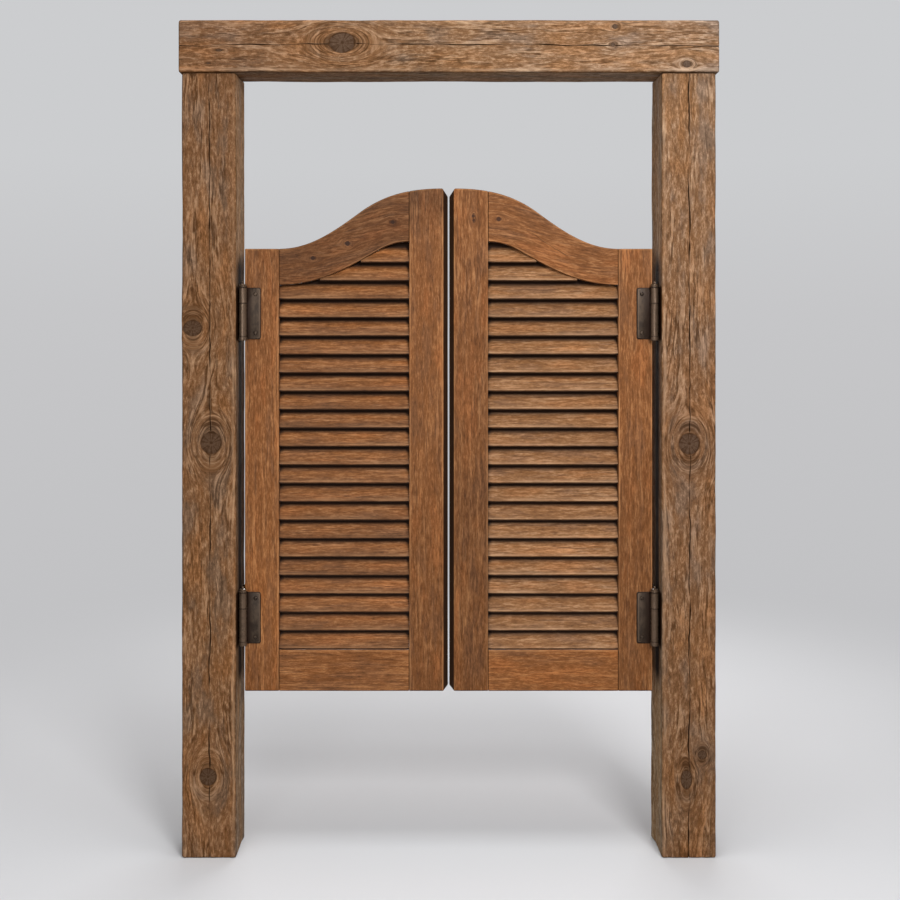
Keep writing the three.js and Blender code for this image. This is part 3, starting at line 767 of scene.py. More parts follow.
@dataclass
class Stick:
    """A length of wood, its front at the least depth."""

    name: str
    axes: tuple  # directions of across, deep and along
    across: object  # least and greatest, for a place along
    along: object  # least and greatest, for a place across
    half: object  # half the thickness, for a place across
    material: object
    seed: int
    tones: list  # (along, colour factor or factors) points
    arris: float  # radius
    steps: tuple  # between points across and along
    uneven: float  # height of its broad waves
    ridges: float  # height of its ridged grain
    origin: tuple = (0, 0, 0)
    arris_play: float = 0.0
    low_steps: tuple = ()  # places of more close columns, from the low edge of the front and back
    knots: list = field(default_factory=list)
    splits: dict = field(default_factory=dict)
    rubbed: tuple = (1, 1)  # how worn its arrises are, at the low and the high edge
    rubbed_ends: tuple = (0, 0)  # how worn they are at its low and high end
    tint: object = untinted  # more colour factors, here and below for a place across, deep and along
    soil: object = nothing  # how dark with dirt and painted shade
    worn: object = nothing  # how pale with wear
    stray: object = nothing  # how far the grain strays across
    lean_over: object = nothing  # how far the wood leans across


END_TURN = np.radians((90, 60, 30))  # steps of a rounded end
EDGE_STEPS = (0, 0.45, 1.4)  # places of the close columns at the edges of a face, in arris radii
NO_SPLIT = 0.001  # width between the middle columns of a face without a split
EYE_WIDTH = 1.7  # width of the eye of parted grain round a knot, in its widths
EYE_LENGTH = 1.6  # length of an eye, in its own widths
EYE_RINGS = 1.9  # how closely the rings in an eye follow each other
EYE_DEPTH = 3  # how deep the grain is parted, in a knot's radii
KNOT_SHORT = 2  # how much sooner a knot ends in depth than across
KNOT_STEP = 0.003
KNOT_REACH = 2.8  # how far from its middle a knot needs fine points, in radii
KNOT_RELIEF = 1 / 26  # height of the relief at a knot, in radii
KNOT_HOLLOW = 0.6  # depth of a knot's dish in that relief
KNOT_WAVES = ((-1.1, 1, 0.14), (0.4, 1.7, 0.5))  # height, place and width of the groove and swell round it
KNOT_GRIP = (1, 1.25)  # where a knot lets a split open, in radii
SPLIT_CLOSES = 0.05  # how far from its ends a split narrows
SPLIT_GAPE = (0.8, 0.75)  # mean and play of how wide a split stands open
SPLIT_GAPES = (0.1, 1.3)  # least and most of that
SPLIT_LEAST = 0.4  # least width of the columns at a split
SPLIT_RUB = 0.6  # wear beside a split
ARRIS_RUB = 0.7  # wear on an arris, set against that just inside it
ARRIS_SHADE = ((-1, 0.5), (0, 0.45))  # painted shade on the arrises beside a side, by columns from its edge
END_DIRT = 0.6
CORNER_TURN = np.radians((30, 60))  # steps round an arris
SIDE_SEEDS = 10  # between the seeds of the splits in a stick's sides
GRAIN_SPREAD = 20  # how far apart pieces are in the patterns of their wood
ARRIS_WAVES = (0.05, 0.6)  # wavelengths along
WANDER_WAVES = (0.03, 0.3)
GAPE_WAVES = (0.03, 0.4)
UNEVEN_WAVES = ((0.15, 0.7), (0.06, 0.2))  # wavelengths along and across
RIDGE_WAVES = ((0.06, 0.3), (0.006, 0.014))
ANY_LENGTH = (1, 2)  # wavelengths across that don't matter on a line


def along_line(u):
    """Points on a stick's middle line."""
    return np.stack([np.zeros_like(u), np.zeros_like(u), u], axis=-1)


def spread(low, high, step, knots):
    """Places from low to high, closer together beside knots."""
    places = [np.linspace(low, high, round((high - low) / step) + 1)]
    for knot in knots:
        reach = KNOT_REACH * knot.radius * knot.stretch
        places.append(np.arange(knot.along - reach, knot.along + reach, min(KNOT_STEP, knot.radius / 3)))
    kept = [low]
    for place in np.sort(np.concatenate(places)):
        if low < place < high and place - kept[-1] > KNOT_STEP / 2:
            kept.append(place)
    return np.array([*kept, high])


def split_line(split, along, seed, knots):
    """Where a split is across its face, how wide it is and how deep, at places along. Knots close it."""
    path = np.array(split.path)
    points = along_line(along)
    centre = np.interp(along, path[:, 0], path[:, 1])
    centre = centre + split.wander * ripples(seed, points, WANDER_WAVES, ANY_LENGTH)
    opened = rise(np.minimum(along - path[0, 0], path[-1, 0] - along), 0, SPLIT_CLOSES)
    gape = SPLIT_GAPE[0] + SPLIT_GAPE[1] * ripples(seed + 1, points, GAPE_WAVES, ANY_LENGTH)
    opened = opened * np.clip(gape, *SPLIT_GAPES)
    for knot in knots:
        off = np.hypot(centre - knot.across, (along - knot.along) / knot.stretch) / knot.radius
        opened = opened * rise(off, *KNOT_GRIP)
    return centre, split.width * np.maximum(opened, SPLIT_LEAST), split.depth * opened


def face_columns(first, last, count, line, near_first, near_last):
    """Places across a face for each row of points, close at its edges, with three columns at its split."""
    toward = np.sign(last - first)
    head = first + toward * near_first
    tail = last - toward * near_last[:, ::-1]
    arm = np.linspace(0, 1, count // 2)[1:]
    if line is None:
        centre, gap = (first + last) / 2, toward * NO_SPLIT / 2
    else:
        centre, gap = line[0][:, None], toward * line[1][:, None] / 2
    left = head[:, -1:] + arm * (centre - gap - head[:, -1:])
    right = tail[:, :1] - arm[::-1] * (tail[:, :1] - centre - gap)
    return np.concatenate([head, left, centre, right, tail], axis=1), head.shape[1] + len(arm)


def knot_field(stick, p, q, u):
    """How knots bend the grain across, the distance to the nearest and the place from it, in its radii."""
    bend = np.zeros_like(p)
    nearest = np.full_like(p, NO_KNOT)
    spot = np.zeros((*p.shape, 3))
    depth = q - q.min()
    for knot in stick.knots:
        a = p - knot.across
        c = (u - knot.along) / knot.stretch
        flow = np.hypot(a, c / EYE_LENGTH) / (EYE_WIDTH * knot.radius)
        eye = a + EYE_RINGS * knot.radius * (1 - flow)
        parted = np.where(flow > 1, a / np.maximum(flow, 1) ** 2, eye)
        bend += parted * np.exp(-((depth / (EYE_DEPTH * knot.radius)) ** 2))
        place = np.stack([a, c, KNOT_SHORT * depth], axis=-1) / knot.radius
        off = np.linalg.norm(place, axis=-1)
        spot = np.where((off < nearest)[..., None], place, spot)
        nearest = np.minimum(nearest, off)
    return bend, nearest, spot


def tone_along(tones, u):
    """Colour factors at places along."""
    places, factors = zip(*tones)
    channels = np.array([np.broadcast_to(factor, 3) for factor in factors]).T
    return np.stack([np.interp(u, places, channel) for channel in channels], axis=-1)


def stick_rows(stick):
    """Each row's place along a stick, its share of the length, and its push and inset at rounded ends."""
    low, high = stick.along(sum(stick.across(0)) / 2)
    low, high = low + stick.arris, high - stick.arris
    places = spread(low, high, stick.steps[1], stick.knots)
    end_step = EDGE_STEPS[-1] * stick.arris
    places = np.sort(np.append(places, (places[0] + end_step, places[-1] - end_step)))
    level = np.zeros_like(END_TURN)
    share = np.concatenate([level, (places - low) / (high - low), level + 1])
    turn = np.concatenate([-END_TURN, np.zeros_like(places), END_TURN[::-1]])
    push, inset = stick.arris * np.sin(turn), stick.arris * (1 - np.cos(turn))
    return low + share * (high - low) + push, *(row[:, None] for row in (share, push, inset))


def stick_section(stick, station, inset):
    """The points round a stick in each row, their normals' angles, and its sides' columns and splits."""
    play = ripples(stick.seed, along_line(station), ARRIS_WAVES, ANY_LENGTH)
    radius = (stick.arris * (1 + stick.arris_play * play))[:, None]
    low, high = (np.broadcast_to(edge, station.shape)[:, None] for edge in stick.across(station))
    low, high = low + inset, high - inset
    first, last = low + radius, high - radius
    half_first, half_last = stick.half(first) - inset, stick.half(last) - inset
    close = np.array(EDGE_STEPS) * radius
    close_low = np.concatenate([close, np.tile(stick.low_steps, (len(station), 1))], axis=1)
    sizes = (high - low, 2 * half_last)
    wide, deep = (2 * round(float(size.max()) / stick.steps[0] / 2) + 1 for size in sizes)
    flats = (
        (first, last, wide, close_low, close),
        (radius - half_last, half_last - radius, deep, close, close),
        (last, first, wide, close, close_low),
        (half_first - radius, radius - half_first, deep, close, close),
    )
    corners = (
        (last, radius - half_last),
        (last, half_last - radius),
        (first, half_first - radius),
        (first, radius - half_first),
    )
    across, depth, angles, spans, lines = [], [], [], [], {}
    for side, ((start, stop, count, *edges), (middle_p, middle_q)) in enumerate(zip(flats, corners)):
        if side in stick.splits:
            knots = stick.knots if side == FRONT else []
            lines[side] = split_line(stick.splits[side], station, stick.seed + SIDE_SEEDS * side, knots)
        columns, middle = face_columns(start, stop, count, lines.get(side), *edges)
        face = {
            FRONT: (columns, inset - stick.half(columns)),
            RIGHT: (np.broadcast_to(high, columns.shape), columns),
            BACK: (columns, stick.half(columns) - inset),
            LEFT: (np.broadcast_to(low, columns.shape), columns),
        }[side]
        begin = sum(part.shape[1] for part in across)
        spans.append((begin, begin + middle, begin + columns.shape[1]))
        ahead = np.radians(90 * (side - 1))
        turn = ahead + CORNER_TURN
        across += [face[0], middle_p + radius * np.cos(turn)]
        depth += [face[1], middle_q + radius * np.sin(turn)]
        angles += [np.full(columns.shape[1], ahead), turn]
    return *(np.concatenate(part, axis=-1) for part in (across, depth, angles)), spans, lines


def stick_marks(stick, p, q, u, spans):
    """How dark a stick is with dirt and painted shade, and how worn, with its arrises and ends."""
    soil, wear = stick.soil(p, q, u), stick.worn(p, q, u)

    def most(values, place, least):
        values[place] = np.maximum(values[place], least)

    for side, rubs in {FRONT: stick.rubbed, BACK: stick.rubbed[::-1]}.items():
        begin, _, end = spans[side]
        for column, inward, rub in zip((begin, end - 1), (1, -1), rubs):
            most(wear, np.s_[:, column], ARRIS_RUB * rub)
            most(wear, np.s_[:, column + inward], rub)
    # Painted shade on the arrises that turn to the sides
    for side in (RIGHT, LEFT):
        begin, _, end = spans[side]
        for off, dirt in ARRIS_SHADE:
            most(soil, np.s_[:, begin + off], dirt)
            most(soil, np.s_[:, end - 1 - off], dirt)
    for row, rub in zip((len(END_TURN), -1 - len(END_TURN)), stick.rubbed_ends):
        most(wear, row, rub)
    for rows in (np.s_[:2], np.s_[-2:]):
        most(soil, rows, END_DIRT)
    return soil, wear


def stick_swell(stick, p, q, u, bend, nearest):
    """How far a stick's skin stands proud: its unevenness, its ridged grain and the relief of its knots."""
    swell = stick.uneven * ripples(stick.seed + 1, np.stack([p, q, u], axis=-1), *UNEVEN_WAVES)
    warped = np.stack([p - bend, q, u], axis=-1)
    swell = swell + stick.ridges * ripples(stick.seed + 2, warped, *RIDGE_WAVES)
    dish = -KNOT_HOLLOW * np.clip(1 - nearest**2, 0, 1)
    for height, place, width in KNOT_WAVES:
        dish = dish + height * np.exp(-(((nearest - place) / width) ** 2))
    return swell + dish * KNOT_RELIEF * max([knot.radius for knot in stick.knots], default=0)


def grain_offset(rng):
    """Where a piece is in the patterns of its wood."""
    return rng.uniform(-GRAIN_SPREAD, GRAIN_SPREAD, 3)


def build_stick(stick):
    station, share, push, inset = stick_rows(stick)
    p, q, angles, spans, lines = stick_section(stick, station, inset)
    low, high = (np.broadcast_to(end, p.shape) for end in stick.along(p))
    u = low + stick.arris + share * (high - low - 2 * stick.arris) + push
    p = p + stick.lean_over(p, q, u)
    bend, nearest, spot = knot_field(stick, p, q, u)
    swell = stick_swell(stick, p, q, u, bend, nearest)
    soil, wear = stick_marks(stick, p, q, u, spans)
    for side, (_, _, depth) in lines.items():
        middle = spans[side][1]
        opened = np.clip(depth / stick.splits[side].depth, 0, 1)
        soil[:, middle] = np.maximum(soil[:, middle], opened)
        wear[:, middle + 1] = np.maximum(wear[:, middle + 1], SPLIT_RUB * opened)
        swell[:, middle] -= depth
    p, q = p + np.cos(angles) * swell, q + np.sin(angles) * swell
    offset = grain_offset(np.random.default_rng(stick.seed))
    fields = {
        "grain": np.stack([p - bend - stick.stray(p, q, u), q, u], axis=-1) + offset,
        "knot": nearest,
        "soil": soil,
        "wear": wear,
        # The tint paints light on the posts' inner faces and shade under the lintel
        "tone": tone_along(stick.tones, u) * stick.tint(p, q, u),
    }
    if stick.knots:
        fields["spot"] = spot
    axes = np.array(stick.axes, float)
    world = np.array(stick.origin) + np.stack([p, q, u], axis=-1) @ axes
    return surface(stick.name, world, stick.material, fields, flip=np.linalg.det(axes) < 0)


def always(low, high):
    """A span that is the same everywhere."""
    return lambda place: (low, high)


def as_thick(value):
    return lambda place: np.full_like(place, value)


# Posts and lintel

UPRIGHT = ((1, 0, 0), (0, 1, 0), (0, 0, 1))
LYING = ((0, 0, 1), (0, 1, 0), (1, 0, 0))
TIMBER_STICK = dict(
    material=TIMBER, arris=TIMBER_ARRIS, arris_play=0.22, steps=(0.0024, 0.008), uneven=0.0006, ridges=0.00028
)
POST_KNOTS = {
    "left": [Knot(-0.0415, 1.3495, 0.0235, 0.83), Knot(0.0057, 1.057, 0.0265), Knot(-0.002, 0.207, 0.0215)],
    "right": [Knot(0.0015, 1.055, 0.0262), Knot(-0.006, 0.200, 0.014, 1.7), Knot(0.0346, 0.263, 0.011)],
}
POST_SPLITS = {
    FRONT: Split([(-0.06, 0.0006), (1.0, 0.003), (2.06, 0.0006)], 0.0034, 0.006, 0.002),
    RIGHT: Split([(0.3, 0.012), (1.7, -0.006)], 0.003, 0.005, 0.003),
    BACK: Split([(-0.06, -0.008), (1.25, 0.004)], 0.0036, 0.006, 0.003),
    LEFT: Split([(0.9, -0.01), (2.06, 0.006)], 0.003, 0.005, 0.003),
}
POST_TONES = {
    "left": [(0, (0.99, 0.97, 0.90)), (0.4, (0.99, 0.96, 0.87)), (2, (0.85, 0.83, 0.78))],
    "right": [(0, (0.98, 0.97, 0.91)), (1.2, (1.02, 1.02, 1.01)), (1.9, (1.2, 1.3, 1.36))],
}
# Painted light: the posts' inner faces made paler, by height
INNER_LIGHT_TONES = {
    "left": [(0.2, (1.25, 1.53, 1.9)), (1.75, (1.47, 1.62, 1.66))],
    "right": [(0.2, (1.7, 2.1, 2.4)), (1.75, (1.34, 1.43, 1.46))],
}
LINTEL_KNOTS = [
    Knot(0.009, -0.2716, 0.0262, 1.2),
    Knot(0.0496, 0.4218, 0.006),
    Knot(0.0038, 0.4169, 0.0055),
    Knot(-0.0457, 0.6048, 0.009),
    Knot(-0.0105, -0.585, 0.0036, 2.4),
    Knot(-0.0436, -0.612, 0.0026, 1.8),
]
LINTEL_SPLITS = {
    FRONT: Split([(-0.75, 0.001), (-0.27, 0.006), (0.75, 0.0)], 0.003, 0.005, 0.0022),
    BACK: Split([(-0.75, -0.01), (0.4, 0.004)], 0.0032, 0.006, 0.003),
    RIGHT: Split([(-0.4, 0.01), (0.75, 0.0)], 0.003, 0.005, 0.003),
}
LINTEL_TONES = [(-0.6, (0.92, 0.92, 0.91)), (0, (1.12, 1.19, 1.19)), (0.6, (1.27, 1.45, 1.63))]
# Painted shade: the lintel's underside made darker
UNDER_SHADE_TONES = [(0, (0.84, 0.82, 0.75))]
INNER_SKIN = 0.0015  # how deep points count as on a face
INNER_SHADOW = [(-0.062, 0.4), (-0.034, 0.52), (-0.012, 1.0), (0.012, 1.0), (0.034, 0.62)]  # painted shadow of the leaf on a post's inner face, by depth
INNER_SHADOW_FADE = 0.05  # over this length at the leaf's foot and top
HINGE_SHADE = [(-0.068, 0.5), (-0.061, 1.0)]  # painted shade beside the hinges, by depth
HINGE_SHADE_REACH = 0.012  # how far it reaches past their ends
POST_LEAN = {"left": [(0.2, 0.0036), (1.75, 0.003)], "right": [(0.2, 0.0062), (1.75, 0.0038)]}  # by height
LEAN_FROM = 0.034  # depth where a post's inner face starts to lean over, behind the hinge plates


def inner_face(p, sign, half):
    """Whether a place across a timber is on its face towards the opening."""
    return -sign * p > half - INNER_SKIN


def inner_tint(sign, half, tones):
    """Tones of the face towards the opening: painted light that makes a post's inner face paler, painted
    shade that darkens the lintel's underside.
    """
    return lambda p, q, u: np.where(inner_face(p, sign, half)[..., None], tone_along(tones, u), 1)


def past_hinge(z):
    """How far a height is past the ends of the nearest hinge's plates."""
    return np.min([np.abs(z - middle) for middle in HINGE_MIDDLES], axis=0) - PLATE_TOP


def post_shadow(sign):
    """Painted shadow on a post's inner face, beside the leaf and most beside the hinges."""

    def soil(p, q, u):
        beside = rise(u - LEAF_BOTTOM, 0, INNER_SHADOW_FADE) * rise(HINGE_STILE_TOP - u, 0, INNER_SHADOW_FADE)
        at_hinge = (q < 0) * close_to(past_hinge(u), HINGE_SHADE_REACH) * by_place(q, HINGE_SHADE)
        return inner_face(p, sign, POST_HALF) * np.maximum(beside * by_place(q, INNER_SHADOW), at_hinge)

    return soil


def post_lean(side, sign):
    """A hewn post isn't square: its inner face leans over to the opening at the back."""

    def lean(p, q, u):
        inner = np.clip(-sign * p / POST_HALF, 0, 1)
        return -sign * by_place(u, POST_LEAN[side]) * inner * rise(q, LEAN_FROM, POST_HALF)

    return lean


def make_post(side, sign, seed):
    stick = Stick(
        name=f"{side}_post_timber",
        axes=UPRIGHT,
        origin=(sign * POST_MIDDLE, 0, 0),
        across=always(-POST_HALF, POST_HALF),
        along=always(0, POST_TOP),
        half=as_thick(POST_HALF),
        seed=seed,
        knots=POST_KNOTS[side],
        splits=POST_SPLITS,
        tones=POST_TONES[side],
        tint=inner_tint(sign, POST_HALF, INNER_LIGHT_TONES[side]),
        rubbed=(0, 1) if sign < 0 else (1, 0),
        soil=post_shadow(sign),
        lean_over=post_lean(side, sign),
        **TIMBER_STICK,
    )
    stand_in(build_stick(stick), f"{side}_post")


def make_lintel(seed):
    """The lintel with a counterbore for each lag screw."""
    piece = build_stick(Stick(
        name="lintel_timber",
        axes=LYING,
        origin=(0, 0, LINTEL_MIDDLE),
        across=always(-LINTEL_HALF, LINTEL_HALF),
        along=always(LINTEL_LOW.x, LINTEL_HIGH.x),
        half=as_thick(LINTEL_HIGH.y),
        seed=seed,
        knots=LINTEL_KNOTS,
        splits=LINTEL_SPLITS,
        tones=LINTEL_TONES,
        tint=inner_tint(1, LINTEL_HALF, UNDER_SHADE_TONES),
        rubbed=(1, 0.3),
        **TIMBER_STICK,
    ))
    stand_in(piece, "lintel")
    bores = []
    for sign in SIDES.values():
        floor = LINTEL_HIGH.z - LAG_SINK - LAG_HEAD_HEIGHT - SEAT
        radius = LAG_HEAD_RADIUS + SEAT
        bore = turned("bore", [(radius, floor, LINTEL_HIGH.z + LAG_SINK)], TIMBER, edge=0)
        bores.append(placed(bore, Matrix.Translation((sign * POST_MIDDLE, 0, 0))))
    combined(piece, *bores, operation="DIFFERENCE")


# Frames of the leaves, as on the right-hand side

LEAF_STICK = dict(material=LEAF_WOOD, arris=LEAF_ARRIS, steps=(0.003, 0.009), uneven=0.0001, ridges=0.00006)
# Painted shade on the bevels of the meeting edge
MEETING_SHADE = 0.85
MEETING_SHADE_FADE = 0.0012
MEETING_LINE = 0.0014  # from the bevel's edge to the pale line on the face
MEETING_LINE_WIDTH = 0.0022
MEETING_MARKS = (-MEETING_SHADE_FADE, 0, MEETING_LINE, MEETING_LINE + MEETING_LINE_WIDTH)
MEETING_STEPS = tuple(MEETING_BEVEL_WIDTH - LEAF_ARRIS + place for place in MEETING_MARKS)
FOOT_DIRT = 0.8
FOOT_DIRT_REACH = 0.0045
SEAM_DIRT_REACH = 0.002
HINGE_END_SHADE = 0.45  # painted shade at the ends of the hinge plates
HINGE_END_SHADE_REACH = 0.014
RAIL_KNOTS = {
    "left": [Knot(1.5678, 0.2612, 0.006), Knot(1.530, 0.3508, 0.005), Knot(1.623, 0.1443, 0.0045)],
    "right": [Knot(1.6308, 0.1293, 0.0055)],
}
RAIL_CRACK = [(0.155, 1.623), (0.217, 1.595), (0.248, 1.571), (0.302, 1.538), (0.346, 1.522), (0.375, 1.520)]
RAIL_SPLITS = {"left": {}, "right": {FRONT: Split(RAIL_CRACK, 0.0014, 0.0018, 0.0004)}}
RAIL_LEAN = 0.5  # how much of the top rail's curve its grain follows
LOCK_KNOTS = {"left": [], "right": [Knot(0.0635, 1.6385, 0.004), Knot(0.0648, 1.628, 0.0035)]}
LOCK_CRACK = [(1.60, 0.0751), (1.73, 0.0751)]
LOCK_SPLITS = {"left": {}, "right": {FRONT: Split(LOCK_CRACK, 0.0012, 0.0018, 0.0005)}}
TONES = {
    "left": {
        "hinge_stile": [(0.46, 0.88), (0.62, 1.18), (0.85, 1.0), (1.2, 0.94), (1.5, 0.85)],
        "lock_stile": [(0.75, 0.78), (1.0, 0.89), (1.5, 0.95), (1.6, 0.87), (1.68, 0.57)],
        "top_rail": [(0, 0.57)],
        "bottom_rail": [(0, 0.97)],
    },
    "right": {
        "hinge_stile": [(0.6, 0.77), (0.95, 0.83), (1.1, 1.01), (1.4, 0.96)],
        "lock_stile": [(0.75, 0.72), (0.88, 0.62), (1.02, 0.79), (1.2, 0.76), (1.36, 0.89), (1.6, 0.93)],
        "top_rail": [(0, 0.95)],
        "bottom_rail": [(0, 1.05)],
    },
}


def meeting_half(x):
    """Half the thickness of a lock stile, bevelled on both faces towards the meeting edge."""
    slope = MEETING_BEVEL_DEPTH / MEETING_BEVEL_WIDTH
    return LEAF_FACE - slope * over_zero(BEVEL_EDGE - x, BEVEL_SOFTNESS)


def lock_ends(x):
    """The foot and the top of a lock stile, with its clipped corners."""
    foot = over_zero(LEAF_INNER + FOOT_CLIP - x, BEVEL_SOFTNESS)
    clip = over_zero(CLIP_EDGE - x, BEVEL_SOFTNESS) * CORNER_CLIP_HEIGHT / CORNER_CLIP_WIDTH
    return LEAF_BOTTOM + foot, upper_ogee(np.maximum(x, CLIP_EDGE)) - clip


def foot_soil(z):
    """Dirt along the foot of a leaf."""
    return FOOT_DIRT * close_to(z - LEAF_BOTTOM, FOOT_DIRT_REACH)


def meeting_shade_and_dirt(x, y, z):
    """Painted shade on the bevels of the meeting edge, with dirt along the foot."""
    return np.maximum(MEETING_SHADE * rise(BEVEL_EDGE - x, 0, MEETING_SHADE_FADE), foot_soil(z))


def meeting_wear(x, y, z):
    """A pale line where the face meets the bevel."""
    return close_to(np.abs(x - BEVEL_EDGE - MEETING_LINE), MEETING_LINE_WIDTH)


def end_soil(z, y, x):
    """Dirt in the seams at a rail's ends."""
    ends = np.minimum(x - LOCK_SEAM, HINGE_SEAM - x)
    return np.maximum(close_to(ends, SEAM_DIRT_REACH), foot_soil(z))


def hinge_shade_and_dirt(x, y, z):
    """Painted shade round the ends of the hinge plates, most beside the barrels, with dirt along the foot."""
    beside = rise(x, AXIS_X - PLATE_REACH, LEAF_OUTER)
    hinge_shadow = HINGE_END_SHADE * (y < 0) * beside * close_to(np.abs(past_hinge(z)), HINGE_END_SHADE_REACH)
    return np.maximum(hinge_shadow, foot_soil(z))


def make_leaf_boards(side, sign, seed):
    stile = dict(axes=((sign, 0, 0), (0, 1, 0), (0, 0, 1)), rubbed_ends=(0, 0.9))
    rail = dict(
        axes=((0, 0, 1), (0, 1, 0), (sign, 0, 0)),
        along=always(LOCK_SEAM + SEAT, HINGE_SEAM - SEAT),
        half=as_thick(LEAF_FACE),
        soil=end_soil,
    )
    boards = {
        "hinge_stile": dict(
            across=always(HINGE_SEAM, LEAF_OUTER),
            along=always(LEAF_BOTTOM, HINGE_STILE_TOP),
            half=as_thick(LEAF_FACE),
            soil=hinge_shade_and_dirt,
            **stile,
        ),
        "lock_stile": dict(
            across=always(LEAF_INNER, LOCK_SEAM),
            along=lock_ends,
            half=meeting_half,
            soil=meeting_shade_and_dirt,
            worn=meeting_wear,
            low_steps=MEETING_STEPS,
            knots=LOCK_KNOTS[side],
            splits=LOCK_SPLITS[side],
            **stile,
        ),
        "top_rail": dict(
            across=lambda x: (lower_ogee(x), upper_ogee(x)),
            stray=lambda z, y, x: RAIL_LEAN * (lower_ogee(x) + upper_ogee(x)) / 2,
            knots=RAIL_KNOTS[side],
            splits=RAIL_SPLITS[side],
            **rail,
        ),
        "bottom_rail": dict(across=always(LEAF_BOTTOM, PANEL_BOTTOM), rubbed=(0, 1), **rail),
    }
    for order, (part, options) in enumerate(boards.items()):
        node = f"{side}_{part}"
        stick = Stick(
            name=f"{node}_board", seed=seed + order, tones=TONES[side][part], **LEAF_STICK, **options
        )
        stand_in(build_stick(stick), node)


# Louvres

SLAT_TONES = {"left": (1.26, 1.32, 1.46), "right": (1.29, 1.58, 2.12)}  # slats are paler than their frame
SLAT_NOSE_SHADE = {"left": 0.49, "right": 0.72}  # painted shade: tone at the nose, darker than higher up the slat
SLAT_SHADE_LIFTS = (0.004, 0.026)  # where that painted shade lifts and slats turn paler, from the nose
SLAT_SHADE = (0.0255, 0.043)  # where painted shadow falls on them, under the next slat
SLAT_TONE_PLAY = 0.05
SLAT_TILT_PLAY = 0.3  # degrees
SLAT_STEP = 0.012
SLAT_CUT_TRIES = 600
SLAT_LEAST = 0.0002  # width of a slat where the top rail cuts it away
SLAT_COLUMNS = np.array((0.06, 0.14, 0.23, 0.32, 0.39, 0.45, 0.51, 0.56, 0.61, 0.66, 0.71, 0.85, 0.99))
NOSE_SHADE = (0, 0.32, 0.68, *[0.76] * 6)  # painted shade round the nose, from its upper side
NOSE_HIGHLIGHT = {-1: 0.25, 0: 0.9, 1: 0.2}  # painted highlight, by columns from the nose's upper side
END_SHADE = 0.011  # how far from their ends slats have painted shade beside the stiles
END_SHADE_STEPS = np.array((0, 0.3, 0.65, 1)) * END_SHADE
# strength of that painted shade
END_SHADE_DEPTH = 0.4


def slat_section(foot, tilt, x):
    """The Y and Z points round a slat at places along it, and how far its front points are from the nose."""
    radius = SLAT_THICKNESS / 2
    reach = SLAT_WIDTH - radius
    ahead = np.array((math.sin(tilt), math.cos(tilt)))
    across = radius * np.array((math.cos(tilt), -math.sin(tilt)))
    nose = np.array((-reach * ahead[0] / 2, radius))
    room = (lower_ogee(x) - SEAT - foot - nose[1])[:, None] / ahead[1]
    arc = nose + circle(radius, math.pi - tilt + np.linspace(0, math.pi, len(NOSE_SHADE)))
    back, front = (
        np.clip(room + side * radius * math.tan(tilt), SLAT_LEAST, SLAT_COLUMNS * reach) for side in (1, -1)
    )
    front = front[:, ::-1]
    points = [
        np.broadcast_to(arc, (len(x), *arc.shape)),
        nose + across + back[..., None] * ahead,
        nose - across + front[..., None] * ahead,
    ]
    return np.concatenate(points, axis=1) + (0, foot), front


def slat(side, sign, number, foot, rng):
    """One slat, its round nose low at the front, cut to the curve of the top rail where it meets it."""
    tilt = SLAT_TILT + math.radians(rng.normal(0, SLAT_TILT_PLAY))
    start, stop = LOCK_SEAM + SEAT, HINGE_SEAM - SEAT
    x = np.linspace(start, stop, SLAT_CUT_TRIES)
    cut = x[lower_ogee(x) - foot > SLAT_THICKNESS][-1]
    even = np.linspace(start, cut, round((cut - start) / SLAT_STEP) + 1)[2:-2]
    x = np.concatenate([start + END_SHADE_STEPS, even, cut - END_SHADE_STEPS[::-1]])
    x = np.unique(np.clip(x, start, cut))
    section, front = slat_section(foot, tilt, x)
    shape, facing = section.shape[:2], np.s_[:, -front.shape[1]:]
    # The nose's painted highlight
    wear = np.zeros(shape)
    for column, worn in NOSE_HIGHLIGHT.items():
        wear[:, column] = worn
    # Painted shade by the stiles, round the nose and under the next slat
    edge = np.minimum(x - start, stop - x)[:, None]
    soil = END_SHADE_DEPTH * close_to(edge, END_SHADE) * np.ones(shape)
    soil[:, :len(NOSE_SHADE)] += NOSE_SHADE
    soil[facing] += rise(front, *SLAT_SHADE)
    # Painted shade: the face darker towards the nose
    fade = np.full(shape, SLAT_NOSE_SHADE[side])
    fade[facing] += (1 - SLAT_NOSE_SHADE[side]) * rise(front, *SLAT_SHADE_LIFTS)
    along = np.broadcast_to(x[:, None], shape)
    fields = {
        "grain": np.stack([section[..., 1], section[..., 0], along], axis=-1) + grain_offset(rng),
        "knot": np.full(shape, NO_KNOT),
        "soil": np.clip(soil, 0, 1),
        "wear": wear,
        "tone": fade[..., None] * np.array(SLAT_TONES[side]) * (1 + rng.normal(0, SLAT_TONE_PLAY)),
    }
    loops = np.concatenate([sign * along[..., None], section], axis=-1)
    return surface(f"{side}_slat_{number:02d}", loops, LEAF_WOOD, fields, flip=sign < 0)


def make_louvres(side, sign, seed):
    rng = np.random.default_rng(seed)
    foot = PANEL_BOTTOM + SEAT
    number = 1
    while foot < PANEL_LOCK_TOP - SLAT_SHOW:
        stand_in(slat(side, sign, number, foot, rng), f"{side}_louvre_bank")
        foot += SLAT_PITCH
        number += 1


# Hinges, drawn about the barrel's axis with the plate's middle at height zero

PLATE_SHADE_REACH = {"left": 0.69, "right": 1.0}  # how far painted shade reaches over the plates of each side
SEAM_REACH = 0.0011  # how far from the seams of a barrel dirt sits
SEAM_DIRT = 0.8
CUTTER = dict(material=BRONZE, edge=0)


